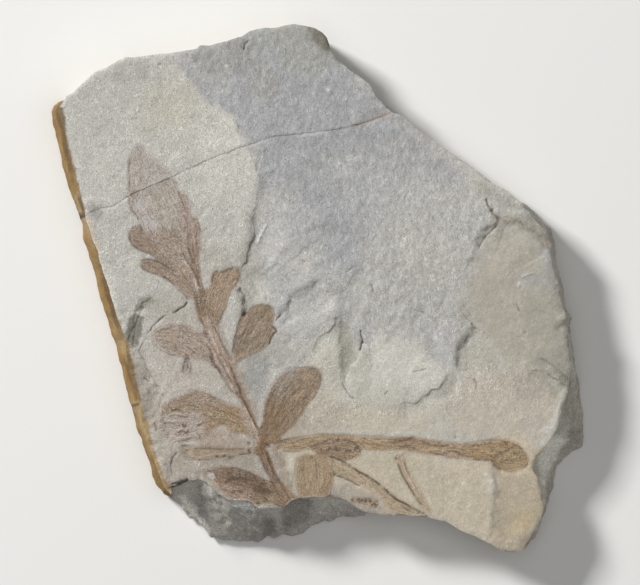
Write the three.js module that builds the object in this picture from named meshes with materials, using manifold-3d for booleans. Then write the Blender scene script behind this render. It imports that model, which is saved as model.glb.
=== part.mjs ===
// Fossil cycad leaf plate. Two fragments of fine limestone, parted by an old mended break, carry a
// pinnate leaf, crossing stems and scraps as thin films let into the upper face.
// Millimetres. The plate lies on its flat back at z = 0; X runs across the face, Y up it, Z out of it.

import * as THREE from 'three';
import { ConvexHull } from 'three/addons/math/ConvexHull.js';
import { mergeVertices } from 'three/addons/utils/BufferGeometryUtils.js';
import Module from 'manifold-3d';

const wasm = await Module();
wasm.setup();

// ---------------------------------------------------------------- driving dimensions

const FACE_LEVEL = 22.5; // the face above the flat back, at the middle of the plate
const FACE_RISE_ACROSS = -0.008; // slope of the face towards +X
const FACE_RISE_UP = 0.006; // slope of the face towards +Y
const CLEARANCE = 0.3; // between any two pieces that meet
const FILM_DEPTH = 0.4; // how far a leaf film reaches into the face
const FILM_RISE = 0.15; // how far it stands above the face
const UNDERCUT = 2.4; // how far a steep side draws in at the back
const BACK_CHAMFER = 0.9; // how far a sloping side draws in at the back
const SIDE_ROUGHNESS = 0.7; // unevenness of the sides
const FACE_GRID = 9.5; // spacing of the points that carry the face
const LEDGE_STEP = 5.5; // spacing of the points along a ledge
const GRID_REACH = 120; // half width of the square that the face is made on
const HEADROOM = 10; // how far the cutting solids run past the face

// ---------------------------------------------------------------- outline of the plate, clockwise

// Where a side slopes out, a row is [widest x, widest y, face x, face y]; where it is steep, [x, y].

// Weathered joint along the left, from the bottom corner to the top one.
const LEFT_SIDE = [
  [-61, -88, -61.5, -86.5], [-65, -86.5, -64.5, -83.5], [-68.5, -81.5, -66.5, -78.5],
  [-70, -77, -68, -74], [-71.5, -71.5, -70, -69], [-74, -64, -72, -63.5], [-76.5, -58, -73.5, -57],
  [-78, -52, -74.5, -51], [-79.5, -47, -75.5, -46], [-80.5, -42, -77, -41], [-82.5, -34.5, -79, -34.5],
  [-84, -29, -80, -28.5], [-85.5, -22, -81, -22], [-87.5, -17.5, -82.5, -16.5],
  [-89.5, -11, -84.5, -11], [-91.5, -4.5, -86.5, -4.5], [-92.5, -0.5, -87.5, -0.5], [-94, 5, -89.5, 5],
  [-95.5, 11, -91.5, 11], [-97, 15.5, -92.5, 15.5], [-98.5, 20.5, -94.5, 20.5], [-99, 26, -96.5, 26],
  [-100, 29.5, -97.5, 30.5], [-101, 32.5, -98, 33.5], [-102.5, 36, -99, 36.5], [-104, 40, -100, 40.5],
  [-105.5, 45, -101.5, 45], [-108, 53, -103.5, 54], [-109, 58, -105, 58], [-110, 63, -105.5, 63],
  [-111, 69, -107, 68], [-112, 74.5, -108.5, 74], [-111, 77, -108.5, 76.5], [-108.5, 79, -107, 78.5],
];

// Steep top side, from the left corner over the highest point and down to the right shoulder.
const TOP_SIDE = [
  [-105.5, 81], [-103, 82], [-100, 85], [-97, 88], [-93, 91], [-88, 93], [-83.5, 96], [-81, 97],
  [-77, 97], [-67, 98.5], [-57, 99.5], [-51, 100.5], [-49.5, 102], [-45.5, 102], [-40, 103.5],
  [-34.5, 105], [-31.5, 106], [-29, 108], [-25.5, 109], [-18, 109.5], [-10.5, 111], [-4.5, 110],
  [-1.5, 109.5], [2, 107.5], [4, 105], [5, 101], [7.5, 97], [13, 92], [17, 89.5], [21.5, 86],
  [24.5, 80.5], [28.5, 77], [31, 74], [35, 73], [39.5, 69], [44, 65.5], [49.5, 61.5], [57.5, 56],
  [64, 51.5], [70, 47], [75, 43], [79, 41.5], [82, 39],
];

// Chipped right side and the long bevel at the lower right corner.
const RIGHT_SIDE = [
  [87.5, 36, 86, 33.5], [91, 31.5, 87.5, 29], [94, 28, 90, 25], [97.5, 25, 93, 21],
  [99.5, 17.5, 96, 14.5], [101, 8.5, 97.5, 8.5], [102, 3, 98, 2.5], [102.5, -2, 98.5, -2],
  [104, -8.5, 100.5, -8], [106.5, -13, 101.5, -13], [105.5, -15.5, 101.5, -15.5],
  [106.5, -21, 102, -21], [108, -29.5, 104, -29.5], [109, -39.5, 105, -39.5], [110, -46, 104.5, -45.5],
  [111, -51, 102.5, -50.5], [112, -55.5, 101.5, -55], [111.5, -60, 100.5, -59.5],
  [112, -63.5, 98, -62.5], [111, -67, 97, -65], [107, -69, 94.5, -68], [104, -71, 92.5, -70.5],
  [100.5, -74, 91, -74], [100, -76.5, 90, -76.5], [99.5, -81.5, 92.5, -79.5], [99, -84.5, 93.5, -84],
  [97.5, -89.5, 94.5, -89], [96, -94.5, 95, -93.5], [94, -97.5, 93.5, -97.5], [93, -102, 92, -101],
  [91, -105.5, 90, -105],
];

// Steep side along the bottom, right of the broken face.
const LOWER_RIGHT_SIDE = [
  [87, -110], [82.5, -111], [77.5, -110.5], [73, -107.5], [67.5, -105], [59.5, -101.5], [54, -98],
  [48.5, -97], [46, -96], [40, -95.5], [34.5, -95.5], [29.5, -95.5], [24, -94.5],
];

// Fresh broken face that slopes down and out along the bottom.
const BROKEN_SIDE = [
  [20.5, -95, 20.5, -94], [15, -96, 16.5, -92], [10, -96, 12.5, -89.5], [5.5, -97, 8.5, -87.5],
  [1, -98.5, 2.5, -87.5], [-4, -101, -3.5, -87.5], [-7.5, -102.5, -7.5, -88], [-11, -104, -11, -89],
  [-15.5, -104, -14, -91.5], [-18.5, -105, -17.5, -93], [-21, -105.5, -21, -92.5],
  [-24.5, -106.5, -25, -92.5], [-29, -107, -28.5, -89.5], [-32.5, -107, -32, -89.5],
  [-36, -106.5, -37.5, -89], [-40, -105.5, -40, -87], [-44, -104.5, -43.5, -84.5],
  [-47.5, -102.5, -46.5, -81.5], [-50.5, -98, -50, -80], [-53.5, -96.5, -53.5, -80.5],
  [-56, -93.5, -57.5, -81.5], [-58.5, -90, -61, -83.5],
];

// The break between the two fragments, from past the left side to past the right one.
const BREAK_LINE = [
  [-108.5, 25.5], [-101.5, 29], [-98.5, 30], [-95.5, 32], [-91.5, 33.5], [-86, 34.5], [-83, 36.5],
  [-79.5, 39], [-76.5, 40.5], [-72.5, 42], [-66.5, 44.5], [-61, 47], [-53.5, 50.5], [-46, 54],
  [-41, 56], [-36, 58], [-30, 60], [-25.5, 61.5], [-20, 63.5], [-11.5, 64.5], [-3.5, 65.5], [5, 66.5],
  [10, 67], [15.5, 68.5], [21, 70], [26.5, 72], [30.5, 74], [38.5, 78],
];

// ---------------------------------------------------------------- relief of the face

// Each ledge runs along its line; the ground on the left hand of the line lies `drop` lower, over a
// slope `ramp` wide, and climbs back within `reach`.
const LEDGES = [
  { // edge of the missing upper lamina
    drop: 0.9, ramp: 1.4, reach: 26,
    line: [
      [-36, 75], [-34.5, 71], [-32.5, 66], [-28.5, 60], [-26, 51], [-25, 38.5], [-27, 25],
      [-29.5, 15], [-36, 7.5],
    ],
  },
  { // soft slope above the flake scar
    drop: 1, ramp: 4, reach: 14,
    line: [[-6.5, 18], [-15, 10], [-24, 7.5], [-29.5, 4.5]],
  },
  { // edge of the flake scar
    drop: 1.6, ramp: 2.2, reach: 16,
    line: [[-0.5, 3], [-6, -0.5], [-11, -3.5], [-15.5, -10], [-17.5, -13.5]],
  },
  { // thin ridge right of the flake scar
    drop: 0.5, ramp: 1.2, reach: 9,
    line: [[19.5, 9.5], [14, 4.5], [10, -0.5], [8.5, -5], [7, -14], [1, -20.5], [-3, -27]],
  },
  { // narrow wedge that opens upwards beside the tongue
    drop: 1.5, ramp: 1.6, reach: 9,
    line: [[11, -40.5], [14, -31], [17.5, -26.5], [20, -22], [18, -16], [15, -11]],
  },
  { // lower edge of the tongue
    drop: 0.9, ramp: 1.6, reach: 12,
    line: [[54.5, -37], [51.5, -41.5], [47, -44], [42.5, -46], [34.5, -51], [28, -50]],
  },
  { // ledge between the tongue and the right side
    drop: 1.2, ramp: 1.8, reach: 22,
    line: [
      [63, -12], [67.5, -17], [61.5, -21.5], [58.5, -26.5], [58, -33.5], [59.5, -42.5],
      [54.5, -49.5], [53, -54],
    ],
  },
  { // upper left edge of the worn scar on the right
    drop: 1.7, ramp: 2, reach: 20,
    line: [[78, 33], [76, 29], [74, 25.5], [70, 20.5], [67.5, 15.5], [65.5, 9]],
  },
  { // upper edge of the same scar
    drop: 0.8, ramp: 2, reach: 18,
    line: [[98, 13], [93.5, 21], [89, 25.5], [85, 28], [78, 29.5]],
  },
  { // fold at the right side
    drop: 0.8, ramp: 2, reach: 10,
    line: [[106, -40], [101.5, -38], [97, -35.5], [91, -33.5], [85, -34]],
  },
  { // step down to the lower right corner
    drop: 1.4, ramp: 1.8, reach: 24,
    line: [[72, -70], [73, -76], [74, -84.5], [73.5, -89.5], [73, -95.5], [72, -104]],
  },
  { // step down to the flaky strip along the left side
    drop: 1.3, ramp: 2, reach: 14,
    line: [
      [-67.5, -63], [-67, -55.5], [-65, -47.5], [-66.5, -41], [-70.5, -36.5], [-73.5, -28.5],
      [-76.5, -20], [-75, -13], [-73.5, -7.5], [-68, -3],
    ],
  },
  { // notch above right leaflet 2
    drop: 1.2, ramp: 1.2, reach: 3.5,
    line: [[-33, -13.5], [-30.5, -9.5], [-30, -5.5], [-32, 0.5]],
  },
];

// Broad unevenness: rows of [height, crest spacing, direction in degrees, shift].
const SWELLS = [
  [0.35, 95, 20, 0.4],
  [0.25, 61, 110, 1.7],
  [0.12, 33, 65, 2.9],
];

// ---------------------------------------------------------------- leaf films

// Outlines on the face. Where two meet, the one named first keeps its edge and the later one stops short.
const FILMS = [
  { // main stem of the leaf
    name: 'rachis',
    outline: [
      [-51.5, -1], [-52, -5], [-51.5, -8.5], [-50.5, -12.5], [-48.5, -16], [-47, -20], [-45.5, -26],
      [-44, -31], [-42, -34.5], [-40, -37], [-37.5, -41], [-35, -44.5], [-32.5, -47.5],
      [-30.5, -51.5], [-29, -56.5], [-27.5, -61], [-26, -65.5], [-26, -68.5], [-24.5, -72],
      [-22.5, -76.5], [-19.5, -80.5], [-17.5, -84.5], [-15.5, -88], [-14, -92], [-11.5, -89.5],
      [-8.5, -88], [-11, -85], [-14, -82.5], [-16.5, -79], [-18, -75.5], [-19.5, -71],
      [-21.5, -67.5], [-23, -65], [-24.5, -60], [-27, -53], [-29.5, -48.5], [-32, -42.5],
      [-34.5, -36.5], [-36.5, -29.5], [-39.5, -24], [-41.5, -19.5], [-41, -14.5], [-44.5, -9],
      [-46, -5], [-47, -0.5],
    ],
  },
  { // small leaflet that lies on the crossing stem
    name: 'loose_leaflet',
    outline: [
      [-3.5, -67.5], [0, -65.5], [4.5, -64], [8.5, -63.5], [12.5, -63.5], [15.5, -64.5], [18, -67.5],
      [18, -70], [15, -72], [11, -72.5], [6.5, -71.5], [1.5, -70],
    ],
  },
  { // club-shaped leaflet at the end of the crossing stem
    name: 'cross_stem_leaflet',
    outline: [
      [64, -65], [68.5, -64.5], [73, -63.5], [76.5, -63], [80.5, -64], [83.5, -65], [86, -67],
      [88, -69.5], [88.5, -72], [87.5, -75], [84, -76], [80.5, -77], [77.5, -76.5], [75.5, -75.5],
      [73.5, -73], [71.5, -72.5], [64, -72],
    ],
  },
  { // crossing stem, right of the rachis
    name: 'cross_stem_right',
    outline: [
      [-19.5, -65], [-14, -63.5], [-6, -62.5], [-1.5, -61.5], [3.5, -61], [10, -61.5], [18.5, -62],
      [27, -62.5], [34, -62.5], [38.5, -62], [47, -63.5], [54, -64.5], [60.5, -65], [66, -65],
      [66, -72], [59.5, -71.5], [54, -70.5], [47, -70], [39.5, -68.5], [33.5, -68], [26, -68.5],
      [18.5, -67.5], [16, -65], [12, -63.5], [7, -64], [1, -65], [-3.5, -67.5], [-8, -68.5],
      [-13, -68.5], [-16.5, -67],
    ],
  },
  { // crossing stem, left of the rachis
    name: 'cross_stem_left',
    outline: [
      [-58.5, -66], [-53.5, -66], [-43.5, -66.5], [-35, -67], [-29.5, -68], [-26.5, -67.5],
      [-25.5, -69.5], [-29.5, -69.5], [-35, -70], [-40, -71], [-46.5, -72], [-52.5, -72],
      [-57, -71.5],
    ],
  },
  { // end leaflet below the break
    name: 'terminal_leaflet',
    outline: [
      [-79.5, 39.5], [-79.5, 36.5], [-78.5, 33.5], [-77, 31], [-75, 28.5], [-73.5, 24], [-69.5, 20],
      [-64, 15], [-58.5, 9.5], [-54.5, 4.5], [-51.5, -0.5], [-49.5, -0.5], [-51.5, 4.5],
      [-53.5, 9.5], [-54.5, 15], [-55, 20.5], [-54, 25.5], [-53.5, 31], [-53.5, 36], [-54.5, 39],
      [-57.5, 41], [-59, 42.5], [-60.5, 47.5], [-70.5, 44],
    ],
  },
  { // its faded tip above the break
    name: 'terminal_leaflet_tip',
    outline: [
      [-80, 38.5], [-79.5, 45], [-79.5, 50.5], [-79.5, 54.5], [-78, 57.5], [-76.5, 60.5],
      [-73.5, 60.5], [-72, 57.5], [-69, 54.5], [-66, 52], [-62.5, 50], [-61, 47], [-70.5, 42.5],
    ],
  },
  { // lobe at the left of the end cluster
    name: 'left_leaflet_1',
    outline: [
      [-79, 25], [-75.5, 26.5], [-74, 24.5], [-69.5, 20], [-64, 15], [-58.5, 9.5], [-54.5, 4.5],
      [-52.5, 0], [-55, 2.5], [-58.5, 6.5], [-63, 9.5], [-68, 13], [-72, 15], [-76, 16.5],
      [-78, 18.5], [-79.5, 21.5], [-79.5, 23.5],
    ],
  },
  { // narrow leaflet under it
    name: 'left_leaflet_2',
    outline: [
      [-74.5, 11.5], [-72.5, 12.5], [-68, 12], [-63, 9.5], [-58.5, 6.5], [-55, 2.5], [-52, -1.5],
      [-52.5, -4.5], [-55, -4], [-57, -1.5], [-60, 1.5], [-63.5, 3.5], [-66.5, 5], [-69.5, 6.5],
      [-73, 7.5], [-74.5, 9],
    ],
  },
  { // oval leaflet half way down
    name: 'left_leaflet_3',
    outline: [
      [-69, -20.5], [-68.5, -18], [-66.5, -16.5], [-63, -15.5], [-58.5, -15], [-54, -16],
      [-50.5, -17.5], [-48, -18.5], [-45.5, -26], [-44, -31], [-43, -33], [-46.5, -31], [-50, -29.5],
      [-54, -29], [-59, -28.5], [-62.5, -27.5], [-66, -25.5], [-68, -23],
    ],
  },
  { // wide, partly flaked leaflet
    name: 'left_leaflet_4',
    outline: [
      [-67, -60], [-67, -55.5], [-66, -50.5], [-63.5, -47.5], [-59.5, -46], [-56, -44],
      [-51.5, -42.5], [-48, -43.5], [-44, -45], [-40, -47.5], [-36.5, -49], [-32.5, -50],
      [-30.5, -51.5], [-29, -56.5], [-27.5, -61], [-27, -62.5], [-32, -61], [-36.5, -60.5],
      [-39, -57], [-43, -58.5], [-46, -61.5], [-50.5, -63.5], [-55, -64.5], [-59.5, -64.5],
      [-63.5, -63],
    ],
  },
  { // dark leaflet at the broken side
    name: 'left_leaflet_5',
    outline: [
      [-48, -76.5], [-44.5, -75.5], [-38.5, -75], [-33, -75.5], [-29.5, -76.5], [-25.5, -78.5],
      [-22, -80], [-19.5, -81.5], [-17.5, -84.5], [-15.5, -88.5], [-14.5, -92.5], [-19.5, -91],
      [-23, -90.5], [-26.5, -91.5], [-28, -89], [-32, -89], [-36.5, -89], [-38.5, -86.5],
      [-42, -83.5], [-44, -80.5], [-47.5, -79],
    ],
  },
  { // narrow strip at the right of the end cluster
    name: 'right_leaflet_0',
    outline: [
      [-53.5, 30], [-51.5, 30], [-50, 28.5], [-49, 23.5], [-49, 17.5], [-49.5, 11], [-49, 5.5],
      [-47.5, -0.5], [-49.5, -0.5], [-51.5, 4.5], [-53.5, 9.5], [-54.5, 15], [-55, 20.5],
      [-54, 25.5],
    ],
  },
  { // first free leaflet on the right
    name: 'right_leaflet_1',
    outline: [
      [-45.5, 0], [-45, 4], [-44, 6.5], [-43, 7.5], [-40, 7.5], [-37.5, 8.5], [-35, 9], [-32.5, 8],
      [-32.5, 3], [-34, 0.5], [-36, -1], [-37.5, -4.5], [-38.5, -8.5], [-40, -11], [-41.5, -15],
      [-44.5, -9], [-46, -5], [-47, -0.5],
    ],
  },
  { // second one
    name: 'right_leaflet_2',
    outline: [
      [-36.5, -29.5], [-35.5, -25.5], [-35, -20.5], [-33.5, -15], [-32, -11], [-29.5, -9], [-26, -7],
      [-23, -6.5], [-20, -7], [-18, -9], [-18.5, -12], [-19, -15], [-17, -17.5], [-19, -20.5],
      [-20.5, -23.5], [-23.5, -26], [-28, -28], [-32.5, -30.5], [-35.5, -32.5],
    ],
  },
  { // large third one
    name: 'right_leaflet_3',
    outline: [
      [-23.5, -63.5], [-24.5, -60], [-23.5, -55.5], [-23, -50.5], [-21.5, -45.5], [-19.5, -41],
      [-16.5, -37.5], [-14, -35], [-10, -34], [-6, -33], [-2, -32.5], [1, -34], [2, -37], [1, -41],
      [-0.5, -44.5], [-3.5, -48.5], [-6, -52.5], [-9, -56], [-12, -60], [-15.5, -63], [-19.5, -65],
      [-21.5, -66],
    ],
  },
  { // slanting stem that runs to the lower right side
    name: 'lower_stem',
    outline: [
      [5.5, -71.5], [10, -72.5], [14, -74.5], [18, -77], [22.5, -79], [25.5, -81.5], [28, -84],
      [31, -86.5], [34.5, -88.5], [38.5, -91], [42.5, -93.5], [46.5, -95.5], [39.5, -95.5],
      [34, -94.5], [29.5, -92], [27, -88.5], [23, -84.5], [17.5, -82], [12.5, -79.5], [7.5, -78],
      [6, -75], [4, -72],
    ],
  },
  { // pale leaflet at the broken side
    name: 'right_leaflet_4',
    outline: [
      [-7.5, -70], [-3.5, -69.5], [1, -70], [4.5, -72], [6, -75], [7, -79], [6, -83.5], [4.5, -88],
      [-2.5, -88], [-7.5, -88], [-9, -84.5], [-9.5, -79], [-9, -74],
    ],
  },
  { // thin stem below the crossing stem
    name: 'short_stem',
    outline: [
      [32, -70.5], [36, -70], [37, -73.5], [38.5, -77.5], [41, -81.5], [43, -85], [45, -88.5],
      [47, -91.5], [48.5, -94.5], [46, -94], [43, -91], [40, -87], [38, -84], [36, -80], [34, -76],
      [33, -73],
    ],
  },
  { // scrap under left leaflet 3
    name: 'leaf_scrap_left',
    outline: [
      [-56, -27], [-54.5, -27], [-54, -30.5], [-53, -33], [-54, -36], [-56.5, -36], [-57, -33],
      [-56, -30],
    ],
  },
  { // scrap at the broken side
    name: 'leaf_scrap_edge',
    outline: [
      [14, -88], [18.5, -88], [23, -88.5], [25.5, -89.5], [24.5, -92.5], [21, -91], [17.5, -90],
      [14.5, -89.5],
    ],
  },
];

// ---------------------------------------------------------------- small helpers

const smooth = (from, to, value) => THREE.MathUtils.smoothstep(value, from, to);

// A closed three.js geometry as a manifold-3d solid.
function solidOf(geometry) {
  const bare = geometry.index ? geometry.toNonIndexed() : geometry.clone();
  bare.deleteAttribute('normal');
  bare.deleteAttribute('uv');
  const merged = mergeVertices(bare, 1e-4);
  return new wasm.Manifold(new wasm.Mesh({
    numProp: 3,
    vertProperties: new Float32Array(merged.attributes.position.array),
    triVerts: new Uint32Array(merged.index.array),
  }));
}

// A manifold-3d solid as a three.js geometry.
function geometryOf(solid) {
  const mesh = solid.getMesh();
  const geometry = new THREE.BufferGeometry();
  geometry.setAttribute('position', new THREE.BufferAttribute(mesh.vertProperties, 3));
  geometry.setIndex(new THREE.BufferAttribute(mesh.triVerts, 1));
  geometry.computeVertexNormals();
  return geometry;
}

// The largest of the separate bodies of a solid.
function largestBody(solid) {
  const bodies = solid.decompose();
  return bodies.reduce((best, body) => (body.volume() > best.volume() ? body : best));
}

// An outline moved outwards by a distance, corner by corner.
function grown(outline, distance) {
  const turn = Math.sign(THREE.ShapeUtils.area(outline.map(([x, y]) => new THREE.Vector2(x, y))));
  return outline.map(([x, y], i) => {
    const [beforeX, beforeY] = outline.at(i - 1);
    const [afterX, afterY] = outline[(i + 1) % outline.length];
    const into = new THREE.Vector2(x - beforeX, y - beforeY).normalize();
    const out = new THREE.Vector2(afterX - x, afterY - y).normalize();
    const along = into.clone().add(out).normalize();
    const spread = Math.max(along.dot(into), 0.5);
    return [x + (turn * along.y * distance) / spread, y - (turn * along.x * distance) / spread];
  });
}

// A straight-sided solid over an outline, from under the back to over the face.
function prism(outline) {
  const shape = new THREE.Shape(outline.map(([x, y]) => new THREE.Vector2(x, y)));
  const depth = FACE_LEVEL + 2 * HEADROOM;
  const geometry = new THREE.ExtrudeGeometry(shape, { depth, bevelEnabled: false });
  geometry.translate(0, 0, -HEADROOM / 2);
  return solidOf(geometry);
}

// ---------------------------------------------------------------- height of the face

// Nearest place on a line: its distance, the hand it lies on (1 for left) and its share of the length.
function nearestOnLine(line, x, y) {
  let best = { distance: Infinity, hand: 1, share: 0 };
  let walked = 0;
  for (let i = 0; i + 1 < line.length; i += 1) {
    const [startX, startY] = line[i];
    const alongX = line[i + 1][0] - startX;
    const alongY = line[i + 1][1] - startY;
    const length = Math.hypot(alongX, alongY);
    const projected = ((x - startX) * alongX + (y - startY) * alongY) / length ** 2;
    const at = THREE.MathUtils.clamp(projected, 0, 1);
    const distance = Math.hypot(x - startX - at * alongX, y - startY - at * alongY);
    if (distance < best.distance) {
      const side = alongX * (y - startY) - alongY * (x - startX);
      best = { distance, hand: side >= 0 ? 1 : -1, share: walked + at * length };
    }
    walked += length;
  }
  return { ...best, share: best.share / walked };
}

function ledgeDepth(ledge, x, y) {
  const { distance, hand, share } = nearestOnLine(ledge.line, x, y);
  const below = smooth(-ledge.ramp / 2, ledge.ramp / 2, hand * distance);
  const climbsBack = 1 - smooth(0, ledge.reach, hand * distance);
  const endTaper = smooth(0, 0.14, share) * smooth(0, 0.14, 1 - share);
  return ledge.drop * below * climbsBack * endTaper;
}

function faceHeight(x, y) {
  let height = FACE_LEVEL + FACE_RISE_ACROSS * x + FACE_RISE_UP * y;
  for (const [rise, spacing, direction, shift] of SWELLS) {
    const angle = THREE.MathUtils.degToRad(direction);
    const along = x * Math.cos(angle) + y * Math.sin(angle);
    height += rise * Math.sin((2 * Math.PI * along) / spacing + shift);
  }
  for (const ledge of LEDGES) height -= ledgeDepth(ledge, x, y);
  return height;
}

// ---------------------------------------------------------------- the face as a triangulated block

// Points at the head and the foot of a ledge's slope.
function ledgePoints({ line, ramp }) {
  const points = [];
  for (let i = 0; i + 1 < line.length; i += 1) {
    const [startX, startY] = line[i];
    const alongX = line[i + 1][0] - startX;
    const alongY = line[i + 1][1] - startY;
    const length = Math.hypot(alongX, alongY);
    const steps = Math.max(1, Math.round(length / LEDGE_STEP));
    for (let step = 0; step < steps; step += 1) {
      const at = (step + 0.5) / steps;
      for (const hand of [-0.5, 0.5]) {
        const aside = (hand * ramp) / length;
        points.push([
          startX + at * alongX - aside * alongY,
          startY + at * alongY + aside * alongX,
        ]);
      }
    }
  }
  return points;
}

// A six-way grid over the whole square, a little uneven, kept clear of the ledges' own points.
function gridPoints(ledgePointList) {
  const points = [];
  const rowStep = FACE_GRID * Math.sqrt(0.75);
  const rows = Math.ceil(GRID_REACH / rowStep);
  const columns = Math.ceil(GRID_REACH / FACE_GRID);
  for (let row = -rows; row <= rows; row += 1) {
    for (let column = -columns; column <= columns; column += 1) {
      const shift = row % 2 ? 0.5 : 0;
      const x = (column + shift) * FACE_GRID + 0.9 * Math.sin(3.1 * row + 1.7 * column);
      const y = row * rowStep + 0.9 * Math.sin(2.3 * column - 4.1 * row);
      const crowded = ledgePointList.some(([px, py]) => Math.hypot(px - x, py - y) < 0.45 * FACE_GRID);
      if (!crowded) points.push([x, y]);
    }
  }
  return points;
}

// Drops every point that lies too close to one before it.
function spacedApart(points, distance) {
  const kept = [];
  for (const [x, y] of points) {
    if (!kept.some(([px, py]) => Math.hypot(px - x, py - y) < distance)) kept.push([x, y]);
  }
  return kept;
}

// Delaunay triangles of points in the plane: the underside of the hull of the points lifted to a bowl.
function delaunay(points) {
  const lifted = points.map(([x, y]) => new THREE.Vector3(x, y, (x * x + y * y) / GRID_REACH));
  const numbers = new Map(lifted.map((point, i) => [point, i]));
  const triangles = [];
  for (const face of new ConvexHull().setFromPoints(lifted).faces) {
    if (face.normal.z >= -1e-9) continue;
    const first = face.edge;
    const corners = [first, first.next, first.next.next].map((edge) => numbers.get(edge.head().point));
    triangles.push(corners.reverse());
  }
  return triangles;
}

const ledgePointList = spacedApart(LEDGES.flatMap(ledgePoints), 1.1);
const FACE_POINTS = [...ledgePointList, ...gridPoints(ledgePointList)];
const FACE_TRIANGLES = delaunay(FACE_POINTS);

// Everything under the face, or under a surface that lies `lift` above it, down past the back.
function groundUpTo(lift) {
  const count = FACE_POINTS.length;
  const positions = [];
  for (const [x, y] of FACE_POINTS) positions.push(x, y, faceHeight(x, y) + lift);
  for (const [x, y] of FACE_POINTS) positions.push(x, y, -HEADROOM);
  const indices = [];
  const openEdges = new Map();
  for (const [a, b, c] of FACE_TRIANGLES) {
    indices.push(a, b, c, a + count, c + count, b + count);
    for (const [from, to] of [[a, b], [b, c], [c, a]]) {
      if (!openEdges.delete(`${to},${from}`)) openEdges.set(`${from},${to}`, [from, to]);
    }
  }
  for (const [from, to] of openEdges.values()) {
    indices.push(from, from + count, to + count, from, to + count, to);
  }
  const geometry = new THREE.BufferGeometry();
  geometry.setAttribute('position', new THREE.Float32BufferAttribute(positions, 3));
  geometry.setIndex(indices);
  return solidOf(geometry);
}

// ---------------------------------------------------------------- sides of the plate

// From the back up: share of the face's height, lean towards the face's outline, share of the undercut.
const SIDE_LEVELS = [
  { height: 0, lean: 0, undercut: 1 },
  { height: 0.12, lean: 0, undercut: 0.75 },
  { height: 0.4, lean: 0.34, undercut: 0.4 },
  { height: 0.72, lean: 0.7, undercut: 0.12 },
  { height: 0.97, lean: 1, undercut: 0 },
];

// One column of the side: its widest place, its place on the face, and the way inwards.
function sideColumns() {
  const rows = [...LEFT_SIDE, ...TOP_SIDE, ...RIGHT_SIDE, ...LOWER_RIGHT_SIDE, ...BROKEN_SIDE];
  return rows.map(([x, y, faceX = x, faceY = y], i) => {
    const [beforeX, beforeY] = rows.at(i - 1);
    const [afterX, afterY] = rows[(i + 1) % rows.length];
    const inward = new THREE.Vector2(afterY - beforeY, beforeX - afterX).normalize();
    return { x, y, faceX, faceY, inward, steep: x === faceX && y === faceY };
  });
}

function unevenness(x, y, z) {
  return 0.6 * Math.sin(0.31 * x + 0.23 * y + 0.9 * z) + 0.4 * Math.sin(0.17 * x - 0.41 * y - 0.5 * z);
}

// The plate's sides as a closed solid that runs past the face, which cuts it off.
function sidesSolid() {
  const columns = sideColumns();
  const rings = SIDE_LEVELS.map(({ height, lean, undercut }, level) => columns.map((column) => {
    const { x, y, faceX, faceY, inward, steep } = column;
    const z = height * faceHeight(faceX, faceY);
    const rough = level === 0 || lean === 1 ? 0 : SIDE_ROUGHNESS * (1 + unevenness(x, y, z)) * 0.5;
    const chamfer = level === 0 ? BACK_CHAMFER : 0;
    const aside = steep ? UNDERCUT * undercut + rough * undercut : chamfer + rough;
    return [
      THREE.MathUtils.lerp(x, faceX, lean) + inward.x * aside,
      THREE.MathUtils.lerp(y, faceY, lean) + inward.y * aside,
      z,
    ];
  }));
  rings.push(rings.at(-1).map(([x, y, z]) => [x, y, z + HEADROOM]));
  const count = columns.length;
  const indices = [];
  for (let level = 0; level + 1 < rings.length; level += 1) {
    for (let i = 0; i < count; i += 1) {
      const next = (i + 1) % count;
      const [low, lowNext] = [level * count + i, level * count + next];
      const [high, highNext] = [low + count, lowNext + count];
      indices.push(low, high, highNext, low, highNext, lowNext);
    }
  }
  for (const level of [0, rings.length - 1]) {
    const flat = rings[level].map(([x, y]) => new THREE.Vector2(x, y));
    for (const [a, b, c] of THREE.ShapeUtils.triangulateShape(flat, [])) {
      const corners = [a, b, c].map((i) => level * count + i);
      const facesUp = THREE.ShapeUtils.area([flat[a], flat[b], flat[c]]) > 0;
      indices.push(...(facesUp === (level > 0) ? corners : corners.reverse()));
    }
  }
  const geometry = new THREE.BufferGeometry();
  geometry.setAttribute('position', new THREE.Float32BufferAttribute(rings.flat(2), 3));
  geometry.setIndex(indices);
  return solidOf(geometry);
}

// ---------------------------------------------------------------- stone and films

// A thin upright wall along the break; what it takes out is the clearance between the fragments.
function breakWall() {
  const offset = (hand) => BREAK_LINE.map(([x, y], i) => {
    const [beforeX, beforeY] = BREAK_LINE[Math.max(i - 1, 0)];
    const [afterX, afterY] = BREAK_LINE[Math.min(i + 1, BREAK_LINE.length - 1)];
    const normal = new THREE.Vector2(beforeY - afterY, afterX - beforeX).normalize();
    return [x + hand * normal.x * CLEARANCE / 2, y + hand * normal.y * CLEARANCE / 2];
  });
  return prism([...offset(-1), ...offset(1).reverse()]);
}

const sides = sidesSolid();
const wall = breakWall();

// The films: parts of a thin skin on the face, each cut short by the wider outlines of those before it.
function filmSolids() {
  const skin = groundUpTo(FILM_RISE).subtract(groundUpTo(-FILM_DEPTH)).intersect(sides).subtract(wall);
  let taken = null;
  return FILMS.map(({ name, outline }) => {
    let film = skin.intersect(prism(outline));
    if (taken) film = film.subtract(taken);
    const wider = prism(grown(outline, CLEARANCE));
    taken = taken ? taken.add(wider) : wider;
    return { name, solid: largestBody(film) };
  });
}

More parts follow.
